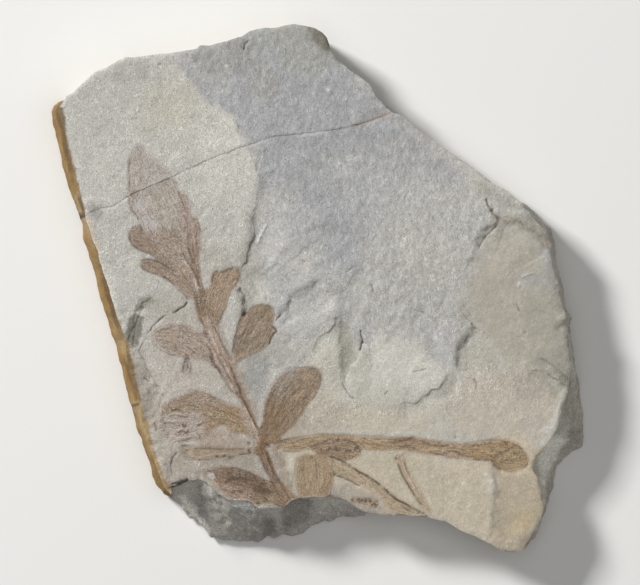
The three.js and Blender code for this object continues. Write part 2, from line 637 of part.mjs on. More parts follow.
// The stone, with a pocket for each film, in its two fragments: the lower one is the larger.
function stoneSolids() {
  const pockets = FILMS.map(({ outline }) => prism(grown(outline, CLEARANCE)))
    .reduce((all, pocket) => all.add(pocket));
  const pocketBand = groundUpTo(HEADROOM / 2).subtract(groundUpTo(-FILM_DEPTH - CLEARANCE));
  const stone = groundUpTo(0).intersect(sides).subtract(pockets.intersect(pocketBand)).subtract(wall);
  return stone.decompose().sort((a, b) => b.volume() - a.volume()).slice(0, 2);
}

// ---------------------------------------------------------------- the plate

const STONE = new THREE.MeshStandardMaterial({ color: 0xaaa79e, roughness: 0.95, metalness: 0 });
const LEAF = new THREE.MeshStandardMaterial({ color: 0x8f7f6e, roughness: 0.85, metalness: 0 });

const plate = new THREE.Group();

function addPiece(name, solid, material) {
  const mesh = new THREE.Mesh(geometryOf(solid), material);
  mesh.name = name;
  plate.add(mesh);
}

const [lowerStone, upperStone] = stoneSolids();
addPiece('slab_lower', lowerStone, STONE);
addPiece('slab_upper', upperStone, STONE);
for (const { name, solid } of filmSolids()) addPiece(name, solid, LEAF);

export default plate;
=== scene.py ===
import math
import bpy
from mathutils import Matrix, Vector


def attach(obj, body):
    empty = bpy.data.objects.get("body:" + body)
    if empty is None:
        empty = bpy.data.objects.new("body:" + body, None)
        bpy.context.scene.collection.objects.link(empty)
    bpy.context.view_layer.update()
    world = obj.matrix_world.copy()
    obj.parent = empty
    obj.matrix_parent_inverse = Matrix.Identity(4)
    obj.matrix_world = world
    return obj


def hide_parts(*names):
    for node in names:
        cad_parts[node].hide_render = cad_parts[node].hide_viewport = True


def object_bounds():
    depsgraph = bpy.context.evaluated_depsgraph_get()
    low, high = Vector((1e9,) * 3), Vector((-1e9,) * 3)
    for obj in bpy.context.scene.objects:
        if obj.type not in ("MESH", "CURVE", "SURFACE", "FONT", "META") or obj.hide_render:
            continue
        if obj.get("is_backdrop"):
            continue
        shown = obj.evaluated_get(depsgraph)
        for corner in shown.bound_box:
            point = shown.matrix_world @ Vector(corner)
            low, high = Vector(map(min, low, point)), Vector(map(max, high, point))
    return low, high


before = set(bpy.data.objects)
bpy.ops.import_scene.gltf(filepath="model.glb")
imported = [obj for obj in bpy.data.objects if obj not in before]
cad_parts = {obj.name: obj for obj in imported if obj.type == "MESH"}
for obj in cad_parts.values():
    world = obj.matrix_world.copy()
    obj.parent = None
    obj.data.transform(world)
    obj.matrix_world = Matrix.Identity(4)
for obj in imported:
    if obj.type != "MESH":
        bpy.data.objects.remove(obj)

# Fossil cycad leaf plate: the looks of the two stone fragments and of the leaf films in their face.
# Lengths are in millimetres, in the frame's own axes, and become metres where a mesh is made.

from types import SimpleNamespace

import bpy
import numpy as np
from mathutils import Vector
from mathutils.geometry import delaunay_2d_cdt

CAD_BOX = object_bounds()
MM = 0.001

# ---------------------------------------------------------------- driving dimensions

FACE_LEVEL = 22.5  # the face above the flat back, at the middle of the plate
FACE_RISE_ACROSS = -0.008  # slope of the face towards +X
FACE_RISE_UP = 0.006  # slope of the face towards +Y
UNDERCUT = 2.4  # how far a steep side draws in at the back
BACK_CHAMFER = 0.9  # how far a sloping side draws in at the back
CRACK_GAP = 0.03  # between the two fragments, below their chipped lips
CRACK_LIP = 0.09  # how far the chipped lips of the crack draw back, at most
SHOULDER_START = (84, 94)  # the right shoulder's rounding starts and is full at these places across
SHOULDER_END = -38.0  # and it reaches down to this height in the plan
SHOULDER_FADE = 6.0  # over this length
BED_HEIGHT = 1.5  # thickness of the beds that show in the sides

FACE_SPACING = 0.66  # between the points of the stone's face
RIM_SPACING = 0.85  # between the columns of the stone's side
RIM_CLEARANCE = 0.42  # between the rim and the face's inner points
SIDE_ROWS = 26  # rows of points from the rim down to the back
ROW_CROWDING = 1.15  # above 1, these rows crowd towards the rim
BACK_SPACING = 4.0  # between the points of the back
BACK_CLEARANCE = 2.2  # between its edge and those points
BACK_RING = 0.9  # how far inside its edge a ring of closer points runs
BACK_RING_SPACING = 1.2
MARK_SPACING = 0.5  # between the points along a ledge, crack or ridge
MARK_CELL = 0.24  # size of the cells that keep one point each, where such marks crowd
MARK_CLEARANCE = 0.30  # about how far the even grid of the face keeps from them
FILM_SPACING = 0.38  # between the points of a leaf film
FILM_CLEARANCE = 0.24  # between its margin and its inner points
GRID_UNEVENNESS = 0.24  # how far a point strays from its grid, as a share of the spacing
STONE_CREASE = 55  # degrees by which an edge of the stone has to turn to stay sharp
FILM_CREASE = 40  # the same for a film

FILM_DEPTH = 0.20  # how far a film reaches into its hollow, away from its margin
FILM_EDGE = 0.12  # how far its margin reaches into the stone
HOLLOW_DEPTH = 0.36  # how deep the hollow under it is
FILM_LIFT = 0.03  # how far a film's margin stands above the stone
FILM_STAGGER = 0.015  # how much higher the next film stands, so that neighbours differ
FILM_SWELL = 0.03  # how far its middle stands above its margin
FILM_ROUNDING = 0.8  # width of its rounded margin
FILM_GROWTH = 0.05  # how far a film is let out all round
FILM_OVERLAP = 0.45  # how far it is let out where it meets its neighbour

# ---------------------------------------------------------------- outline of the plate, clockwise

# Where a side slopes out, a row is [widest x, widest y, face x, face y]; where it is steep, [x, y].

# Weathered joint along the left, from the bottom corner to the top one.
LEFT_SIDE = [
    [-61, -88, -61.5, -86.5], [-65, -86.5, -64.5, -83.5], [-68.5, -81.5, -66.5, -78.5],
    [-70, -77, -68, -74], [-71.5, -71.5, -70, -69], [-74, -64, -72, -63.5], [-76.5, -58, -73.5, -57],
    [-78, -52, -74.5, -51], [-79.5, -47, -75.5, -46], [-80.5, -42, -77, -41], [-82.5, -34.5, -79, -34.5],
    [-84, -29, -80, -28.5], [-85.5, -22, -81, -22], [-87.5, -17.5, -82.5, -16.5],
    [-89.5, -11, -84.5, -11], [-91.5, -4.5, -86.5, -4.5], [-92.5, -0.5, -87.5, -0.5], [-94, 5, -89.5, 5],
    [-95.5, 11, -91.5, 11], [-97, 15.5, -92.5, 15.5], [-98.5, 20.5, -94.5, 20.5], [-99, 26, -96.5, 26],
    [-100, 29.5, -97.5, 30.5], [-101, 32.5, -98, 33.5], [-102.5, 36, -99, 36.5], [-104, 40, -100, 40.5],
    [-105.5, 45, -101.5, 45], [-108, 53, -103.5, 54], [-109, 58, -105, 58], [-110, 63, -105.5, 63],
    [-111, 69, -107, 68], [-112, 74.5, -108.5, 74], [-111, 77, -108.5, 76.5], [-108.5, 79, -107, 78.5],
]

# Steep top side, from the left corner over the highest point and down to the right shoulder.
TOP_SIDE = [
    [-105.5, 81], [-103, 82], [-100, 85], [-97, 88], [-93, 91], [-88, 93], [-83.5, 96], [-81, 97],
    [-77, 97], [-67, 98.5], [-57, 99.5], [-51, 100.5], [-49.5, 102], [-45.5, 102], [-40, 103.5],
    [-34.5, 105], [-31.5, 106], [-29, 108], [-25.5, 109], [-18, 109.5], [-10.5, 111], [-4.5, 110],
    [-1.5, 109.5], [2, 107.5], [4, 105], [5, 101], [7.5, 97], [13, 92], [17, 89.5], [21.5, 86],
    [24.5, 80.5], [28.5, 77], [31, 74], [35, 73], [39.5, 69], [44, 65.5], [49.5, 61.5], [57.5, 56],
    [64, 51.5], [70, 47], [75, 43], [79, 41.5], [82, 39],
]

# Chipped right side and the long bevel at the lower right corner.
RIGHT_SIDE = [
    [87.5, 36, 86.5, 35], [91, 31.5, 89.7, 30.5], [94, 28, 92.7, 27], [97.5, 25, 96, 24],
    [99.5, 17.5, 98.2, 17], [101, 8.5, 99.7, 8.5], [102, 3, 100.7, 3], [102.5, -2, 101.2, -2],
    [104, -8.5, 102.8, -8.5], [106.5, -13, 105.3, -13], [105.5, -15.5, 104.3, -15.5],
    [106.5, -21, 105.2, -21], [108, -29.5, 106.5, -29.5], [109, -39.5, 106.5, -39.5],
    [110, -46, 104.5, -45.5], [111, -51, 102.5, -50.5], [112, -55.5, 101.5, -55],
    [111.5, -60, 100.5, -59.5], [112, -63.5, 98, -62.5], [111, -67, 97, -65], [107, -69, 94.5, -68],
    [104, -71, 92.5, -70.5], [100.5, -74, 91, -74], [100, -76.5, 90, -76.5], [99.5, -81.5, 92.5, -79.5],
    [99, -84.5, 93.5, -84], [97.5, -89.5, 94.5, -89], [96, -94.5, 95, -93.5], [94, -97.5, 93.5, -97.5],
    [93, -102, 92, -101], [91, -105.5, 90, -105],
]

# Steep side along the bottom, right of the broken face.
LOWER_RIGHT_SIDE = [
    [87, -110], [82.5, -111], [77.5, -110.5], [73, -107.5], [67.5, -105], [59.5, -101.5], [54, -98],
    [48.5, -97], [46, -96], [40, -95.5], [34.5, -95.5], [29.5, -95.5], [24, -94.5],
]

# Fresh broken face that slopes down and out along the bottom.
BROKEN_SIDE = [
    [20.5, -95, 20.5, -94], [15, -96, 16.5, -92], [10, -96, 12.5, -89.5], [5.5, -97, 8.5, -87.5],
    [1, -98.5, 2.5, -87.5], [-4, -101, -3.5, -87.5], [-7.5, -102.5, -7.5, -88], [-11, -104, -11, -89],
    [-15.5, -104, -14, -91.5], [-18.5, -105, -17.5, -93], [-21, -105.5, -21, -92.5],
    [-24.5, -106.5, -25, -92.5], [-29, -107, -28.5, -89.5], [-32.5, -107, -32, -89.5],
    [-36, -106.5, -37.5, -89], [-40, -105.5, -40, -87], [-44, -104.5, -43.5, -84.5],
    [-47.5, -102.5, -46.5, -81.5], [-50.5, -98, -50, -80], [-53.5, -96.5, -53.5, -80.5],
    [-56, -93.5, -57.5, -81.5], [-58.5, -90, -61, -83.5],
]

# The break between the two fragments, from the left side to the right shoulder.
BREAK_LINE = [
    [-97.7, 30.5], [-95.5, 32], [-91.5, 33.5], [-86, 34.5], [-83, 36.5], [-79.5, 39], [-76.5, 40.5],
    [-72.5, 42], [-66.5, 44.5], [-61, 47], [-53.5, 50.5], [-46, 54], [-41, 56], [-36, 58], [-30, 60],
    [-25.5, 61.5], [-20, 63.5], [-11.5, 64.5], [-3.5, 65.5], [5, 66.5], [10, 67], [15.5, 68.5], [21, 70],
    [26.5, 72], [31, 74],
]

# Shape of the sides, from the back up: share of the face's height, lean towards the face's outline and
# share of the undercut.
SIDE_LEVELS = [[0, 0.12, 0.4, 0.72, 0.97], [0, 0, 0.34, 0.7, 1], [1, 0.75, 0.4, 0.12, 0]]

# ---------------------------------------------------------------- relief of the face

# Broad unevenness: rows of [height, crest spacing, direction in degrees, shift].
SWELLS = [[0.35, 95, 20, 0.4], [0.25, 61, 110, 1.7], [0.12, 33, 65, 2.9]]

# Ledges: rows of [drop, width, step, fade, reach, foot shade, line]. The ground on the left hand of the
# line lies `drop` lower and climbs back within `reach`. A share `step` of the drop falls at the line,
# over a slope `width` wide, and the rest flattens out over about `fade`. The foot shade is how dark its
# foot is
# painted: painted shade, with a little dirt.
LEDGES = [
    # edge of the missing upper lamina, shallow where only the colour changes
    [0.3, 0.8, 0.8, 1.5, 20, 0, [[-46.1, 77.8], [-43.6, 76.2], [-39.8, 74.1], [-35.6, 72],
         [-32.7, 65.2], [-29.7, 61], [-26.8, 53.5], [-24.7, 45.1]]],
    # the same edge further down, where it is high
    [0.7, 1.4, 0.3, 2.6, 13, 0.1, [[-26.4, 53.5], [-24.7, 45.1], [-25.5, 38.4], [-27.2, 27.9],
         [-27.2, 22], [-29.3, 14.4], [-30.1, 11.9], [-32.7, 9], [-36.9, 7.7]]],
    # its crisp lowest stretch
    [0.3, 0.5, 0.9, 1, 4, 0.3, [[-26.4, 24.1], [-28, 18.6], [-29.7, 14.4], [-30.1, 11.9], [-33.1, 8.5]]],
    # soft slope above the flake scar
    [0.8, 2.8, 0.3, 3.4, 13, 0, [[-2.8, 19.9], [-7.9, 15.7], [-15, 10.6], [-23.8, 7.7], [-31.8, 3.9]]],
    # edge of the flake scar
    [1.4, 4.2, 0.5, 3.6, 17, 0, [[1.8, 5.2], [-2.8, 1.8], [-6.2, -0.7], [-10.8, -3.6], [-13.3, -7.4],
         [-15.4, -9.9], [-18, -14.1]]],
    # thin ridge right of the flake scar
    [0.35, 1.2, 0.3, 2.5, 10, 0, [[20.3, 10.6], [14, 4.3], [10.2, -0.7], [8.5, -4.5], [6.8, -8.7],
         [7.7, -14.1], [6.4, -22.1]]],
    # its thin lower end, which turns to the left
    [0.3, 0.6, 0.9, 1, 6, 0.3, [[8.1, -9.9], [6.8, -14.1], [5.1, -17.1], [0.9, -20.4], [-2, -25.1],
         [-3.7, -28]]],
    # left edge of the narrow wedge beside the tongue
    [0.55, 2.6, 0.5, 2.4, 9, 0, [[9.8, -1.1], [8.9, -5.7], [8.9, -13.3], [9.3, -23.8], [9.8, -33.5],
         [11, -41.9]]],
    # right edge of that wedge, where the tongue begins
    [0.35, 1, 0.7, 1.4, 7, 0, [[10.6, -42.3], [12.3, -38.1], [13.5, -33], [16.5, -29.7], [18.2, -26.3],
         [19, -22.1], [18.2, -17.9], [16.1, -12.5], [13.5, -7.4]]],
    # lower edge of the tongue
    [0.6, 1.5, 0.7, 2, 10, 0.05, [[55.1, -34.3], [53.9, -38.1], [51.3, -41.9], [48, -43.5],
         [44.6, -45.6], [42.1, -47.7], [37.9, -48.6], [33.7, -48.2]]],
    # ledge between the tongue and the right side
    [1.1, 3.8, 0.6, 3, 16, 0, [[66.5, -15], [63.9, -19.2], [61, -22.1], [59.3, -24.6], [58.5, -28],
         [58.1, -33], [58.1, -36.8]]],
    # its shallow end
    [0.3, 1.4, 0.6, 1.5, 14, 0, [[58.5, -33.5], [58.1, -39.3], [58.5, -42.7], [57.6, -47.3],
         [54.3, -49.8], [52.6, -54.5]]],
    # slope down to the worn scar on the right, at its upper left
    [0.75, 3, 0.7, 2, 20, 0, [[77.8, 31.6], [74.9, 27.9], [72.3, 26.2], [69.4, 23.2], [66.9, 19.5],
         [64.4, 14.4], [62.3, 8.5]]],
    # upper edge of the same scar
    [0.8, 1.6, 0.5, 2, 18, 0.15, [[98, 12.3], [96.3, 17.4], [93.8, 21.1], [89.1, 25.3], [84.9, 27.9],
         [77, 29.1]]],
    # fold at the right side
    [0.6, 0.7, 0.3, 2, 9, 0.35, [[106.8, -43.1], [104.3, -41], [101.3, -38.5], [98.4, -36.4],
         [96.3, -34.7], [93.3, -33.9], [90.4, -34.3], [87, -36.4]]],
    # second fold above it
    [0.4, 0.7, 0.3, 1.5, 7, 0.35, [[107.2, -38.9], [105.1, -37.2], [102.2, -35.1], [99.2, -32.6],
         [96.7, -30.1], [93.3, -28]]],
    # step down to the lower right corner
    [0.8, 3, 0.5, 3, 20, 0, [[72.3, -70.4], [73.2, -75.5], [73.6, -79.7], [74.4, -83.9], [74.2, -87.2],
         [74, -89.7], [73.8, -95.2], [73.6, -100.2], [72.7, -106.1]]],
    # step down to the flaky strip along the left side
    [1.2, 0.9, 0.6, 2.5, 12, 0.35, [[-67.5, -62.9], [-67.1, -55.7], [-65.8, -47.7], [-67.1, -41],
         [-70.5, -36.8], [-73.4, -28.8], [-76.3, -20], [-75.1, -13.3], [-73.4, -7.4], [-67.9, -3.2]]],
    # notch above right leaflet 2
    [1.5, 0.5, 0.9, 0.8, 2.2, 0.7, [[-30.6, -12.9], [-29.7, -9.1], [-29.7, -4.9], [-31, -2], [-32.7, 1]]],
]

# Narrow grooves and cracks: rows of [depth, half width, dirt and painted shade in them, line].
GROOVES = [
    [0.35, 0.35, 0.8, [[-31.4, 100.1], [-30.6, 102.6], [-28.9, 103.9]]],
    [0.3, 0.3, 0.6, [[-30.6, 102.6], [-31, 105.1]]],
    [0.5, 0.42, 0.95, [[-54.5, -5.7], [-56.2, -7.8], [-58.3, -9.1], [-60.8, -10.4]]],
    [0.35, 0.3, 0.75, [[-62.9, -11.2], [-67.1, -13.7], [-69.6, -16.7], [-71.3, -19.2]]],
    [0.5, 0.35, 0.95, [[18.2, -17.5], [18.6, -20.9], [19.4, -23.4]]],
    [0.5, 0.4, 1, [[19, -21.7], [18.2, -24.6], [17.7, -26.7]]],
    [0.7, 0.45, 0.6, [[70.7, 37.9], [71.9, 34.6], [73.6, 32.1]]],
    [0.9, 0.75, 0.7, [[72.8, 33.3], [74.4, 30.8], [77, 28.3]]],
    [0.25, 0.3, 0.5, [[76.1, 26.6], [73.6, 24.5], [71.1, 22.4], [69, 19.5], [67.7, 16.5]]],
    [0.25, 0.25, 0.7, [[-6.6, 11.9], [-4.9, 10.6]]],
    [0.25, 0.25, 0.6, [[22.8, 1.8], [23.2, -1.5]]],
    [0.4, 0.35, 0.8, [[-19.2, -15.8], [-17.1, -17.9], [-19.2, -20.4], [-20.5, -23.8]]],
    [0.25, 0.45, 0.5, [[65.2, -37.7], [66.9, -40.2], [66.5, -43.5]]],
    [0.25, 0.35, 0.6, [[57.6, -59.9], [58.1, -63.7]]],
    [0.25, 0.3, 0.6, [[83.3, -6.2], [84.9, -9.9]]],
    [0.35, 0.45, 0.8, [[-68.8, -56.1], [-67.5, -60.3]]],
    [0.7, 0.55, 1, [[-61.6, -82.6], [-57.9, -81.3], [-54.1, -80.1]]],
    [0.35, 0.4, 0.7, [[-62.9, -84.3], [-60, -83]]],
    [0.3, 0.4, 0.7, [[-61.2, -78], [-61.6, -74.6], [-60.8, -71.3], [-58.7, -68.7]]],
    [0.35, 0.45, 0.7, [[-67.1, 93.8], [-65.4, 93.8]]],
    [0.35, 0.5, 0.7, [[-69.2, -4.5], [-73.8, -8.3], [-75.5, -12.9], [-78.9, -20], [-79.7, -23]]],
    [0.3, 0.35, 0.7, [[-74.2, -10.4], [-76.3, -15], [-77.2, -20.9], [-77.6, -26.7]]],
    [0.25, 0.3, 0.6, [[-70.9, -17.5], [-73, -22.5], [-75.5, -26.7]]],
    [0.25, 0.3, 0.5, [[-73.4, -37.7], [-70.5, -38.9], [-67.5, -38.5]]],
    [0.35, 0.45, 0.6, [[64.4, -14.6], [66.9, -17.1]]],
    [0.2, 0.3, 0.35, [[56.8, -7.4], [60.6, -9.9], [63.9, -13.7], [67.3, -16.2]]],
    [0.2, 0.3, 0.3, [[61, -7.4], [64.8, -11.2], [68.6, -14.6]]],
    [0.2, 0.3, 0.3, [[42.9, -9.9], [47.1, -11.2], [50.1, -13.7], [51.3, -16.2]]],
    [0.2, 0.4, 0.35, [[40, -35.1], [42.9, -34.7], [45.9, -33.9]]],
    [0.2, 0.35, 0.45, [[28.2, -45.2], [29.5, -42.7]]],
    [0.2, 0.25, 0.35, [[-21.7, -2], [-21.3, -6.2]]],
    [0.25, 0.3, 0.5, [[-12.1, -5.7], [-12.1, -9.9]]],
    [0.3, 0.35, 0.6, [[10.2, -38.9], [11.4, -41.9], [13.5, -45.2], [16.5, -47.3]]],
    [0.4, 0.4, 0.75, [[-77.6, -16.2], [-76.3, -9.9], [-73.4, -6.2], [-69.2, -4.1]]],
    [0.35, 0.4, 0.8, [[-101.1, 30], [-99, 29.1], [-96.9, 30.8]]],
    [0.25, 0.3, 0.5, [[-15, -8.3], [-15.4, -11.2], [-18, -14.1]]],
    [0.2, 0.3, 0.4, [[11.9, 6.9], [16.1, 9.4], [19.4, 9]]],
    [0.2, 0.35, 0.5, [[78.6, 30.4], [82, 28.7], [84.1, 27.4]]],
    [0.2, 0.35, 0.4, [[84.9, 27.9], [88.3, 24.9], [91.7, 23.2]]],
    [0.25, 0.3, 0.5, [[66.9, 9], [69, 7.7]]],
    [0.2, 0.6, 0.4, [[101.3, -10.4], [103.8, -12], [106.4, -10.8]]],
    [0.25, 0.3, 0.9, [[7.2, -78.4], [11.9, -80.2], [15.6, -82], [18, -83.4]]],
]

# Thin raised ridges: rows of [rise, half width, line].
RIDGES = [
    [0.35, 0.6, [[-20.9, 27.9], [-23, 23.7], [-25.9, 17.8]]],
    [0.25, 0.5, [[84.5, 0.1], [84.9, 3.1]]],
    [0.2, 0.4, [[85.4, 4.3], [88.3, 6], [91.7, 6.4]]],
    [0.3, 0.4, [[-31.8, -61.2], [-29.3, -63.7], [-26.4, -66.6]]],
    [0.3, 0.5, [[3.5, 85], [5.6, 81.6]]],
    [0.25, 0.5, [[20.3, -23.8], [21.9, -25.9]]],
]

# Pits and rounded lumps: rows of [x, y, radius, rise, dirt and painted shade in a pit].
SPOTS = [
    [-28.7, -65.1, 0.7, -0.5, 0.9], [-28.2, -68, 0.8, -0.5, 0.8], [-20.8, -66.2, 0.9, -0.5, 0.95],
    [-16.5, -67.2, 0.7, -0.4, 0.7], [-36.6, -71.1, 0.8, -0.4, 0.8], [-40, -70.9, 0.7, -0.4, 0.7],
    [-65, -45, 0.6, -0.5, 0.9], [87, -18.5, 0.6, -0.3, 0.7], [5.5, 55.5, 0.5, -0.3, 0.7],
    [-51, 96, 1.4, -0.2, 0.25], [-77, -50.5, 0.9, -0.4, 0.7], [103.2, -12.5, 2.2, 0.9, 0],
    [101.5, -17, 1.6, -0.5, 0],
]

# Bright little chips: rows of [x, y, radius].
SPECKS = [
    [-38.5, 93.5, 0.7], [4.5, 83.5, 0.8], [12.5, 54, 0.5], [85, 2, 0.7], [72, 13, 0.5], [70.5, -78, 0.6],
    [61, -82, 0.6], [76.5, -50.5, 0.5], [48, -79, 0.5], [49.5, -21, 1.1], [51.5, -19, 0.7],
    [-71, 60.5, 0.4],
]

# Unevenness is added up from noises, in rows of [strength, lump spacing, seed].
RAGGED_EDGE = [[0.55, 3.6, 113], [0.35, 1.7, 114]]  # small flakes gone from a wide ledge
SOFT_LUMPS = [[0.12, 13, 21], [0.07, 6, 22]]  # on the whole face
SPLIT_GRAIN = [[0.06, 2.8, 23], [0.05, 1.5, 27]]  # where the split surface is not smooth
# how patchy the dirt and painted shade are
MOTTLED_DIRT_AND_SHADE = [[0.25, 2.5, 61], [0.25, 0.9, 62]]

# How a line or an outline wanders, in rows of [amount, seed, lump spacing].
LEDGE_WANDERS = [[0.9, 11, 4.0], [0.35, 31, 1.3]]
GROOVE_WANDERS = [[0.45, 41, 1.6]]
RIDGE_WANDERS = [[0.3, 71, 2.0]]
LEAF_MARK_WANDERS = [[0.22, 351, 2.0]]
RIM_WANDER = [0.35, 201, 4.0]
CRACK_WANDER = [0.4, 221, 2.5]
FILM_WANDER = [0.32, 301, 2.2]

LEDGE_TAPER = 0.14  # share of a ledge's length over which it dies out at each end
RIDGE_TAPER = 0.2  # the same for a ridge
MARK_TAPER = 0.1  # and for a groove or a mark on a film
CRACK_TAPER = 0.03  # share of the crack over which it stops wandering at each end
NARROW_RAGGEDNESS = 0.25  # how ragged a ledge's edge is, to which its width adds
RAGGEDNESS_BY_WIDTH = 0.3
MOST_RAGGEDNESS = 1.2

FLAKE_STEP = 0.16  # height of the steps that the split surface goes down in
FACET_RUN = (0.76, 0.64)  # the direction in which the long facets run
FACET_LENGTH = 2.2  # how many times longer than wide they are
AREA_REACH = 12.0  # no area's soft edge is wider than this to either side

# ---------------------------------------------------------------- tones of the stone

# The stone's tones, as seen in even light (red, green and blue from 0 to 255).
PALE = (183, 180, 172)
SHELL = (197, 194, 184)
WARM = (182, 177, 163)
GREY = (157, 157, 157)
LIGHT_GREY = (173, 171, 166)
CORNER_GREY = (158, 157, 151)
SILVER = (174, 173, 170)
BEIGE = (167, 161, 148)
CREAM = (184, 174, 158)
STRAW = (184, 174, 154)
TAN = (170, 159, 139)
YELLOW = (180, 162, 128)
ROSE_GREY = (180, 172, 162)
FLAKY = (160, 152, 141)
# olive-grey stone, also painted shade on the wedge's left wall and under the tongue's lower edge
OLIVE_GREY_AND_SHADE = (144, 142, 130)
# dark olive painted shade: where the top corner rounds away, and along the fold at the right side
DARK_OLIVE_SHADE = (106, 102, 88)
# a dark smear by the crack's left end, and painted shade on the slope below the upper lamina's edge
SMEAR_AND_SHADE = (118, 115, 110)
SHADOW_GREEN = (86, 84, 72)
# grey painted shade: in the wedge beside the tongue, and in a small patch further right
WEDGE_SHADE = (140, 137, 126)
# painted shade down the valley between the tongue and the right side
VALLEY_SHADE = (128, 126, 116)
SHADE = (148, 145, 134)
# pale chipped rims and lips, made lighter as painted highlight
RIM_HIGHLIGHT = (204, 201, 192)
RUSTY_OLIVE = (146, 134, 114)
HALO = (196, 181, 158)
LIGHT_ROSE = (182, 165, 147)
RESIN = (150, 124, 90)
OCHRE = (138, 111, 68)
FRACTURE = (172, 168, 161)
RUST = (84, 64, 38)
PALE_BREAK = (206, 201, 191)
# painted light on bevels and facets of the sides that face away from the lamp
BEVEL_HIGHLIGHT = (240, 236, 224)
# painted shadow inside notches and the gaping end of a crack
NOTCH_SHADOW = (62, 50, 34)
DARK_BREAK = (132, 128, 121)
PALE_OCHRE = (160, 140, 106)
BEVEL = (178, 173, 161)
LEAF_DARK = (84, 68, 56)
LEAF_GROUND = (146, 128, 110)
COOL_SHADE = (152, 150, 145)
OCHRE_STREAK = (100, 80, 50)
OCHRE_LIGHT = (150, 126, 86)
PALE_ROSE = (190, 176, 160)
CHIP = (222, 221, 218)
# dark dirt, also the colour of painted shade at the feet of ledges, in cracks and in pits
DIRT_AND_SHADE = (70, 60, 50)
CEMENT = (112, 94, 76)
STAIN = (126, 108, 90)
FRESH_CHIP = (208, 207, 202)
WARM_CLOUD = (176, 160, 134)
FLOOR_TONE = (226, 225, 222)
SURROUND_TONE = (238, 239, 241)

# The worn scar on the right side of the face.
WORN_SCAR = [
    [76, 28], [96.5, 20.5], [102.5, -5], [106, -35], [93.5, -36], [78.5, -29.5], [69, -21], [63, -14],
    [62.5, -0.5], [66.5, 14],
]

# The gaping end of the crack over the bottom corner, painted dark as the shadow in its gap.
CORNER_CRACK = [
    [-61.6, -83], [-57.9, -81.5], [-54.1, -79.9], [-53.9, -80.7], [-57.4, -82.4], [-61.2, -83.9],
]

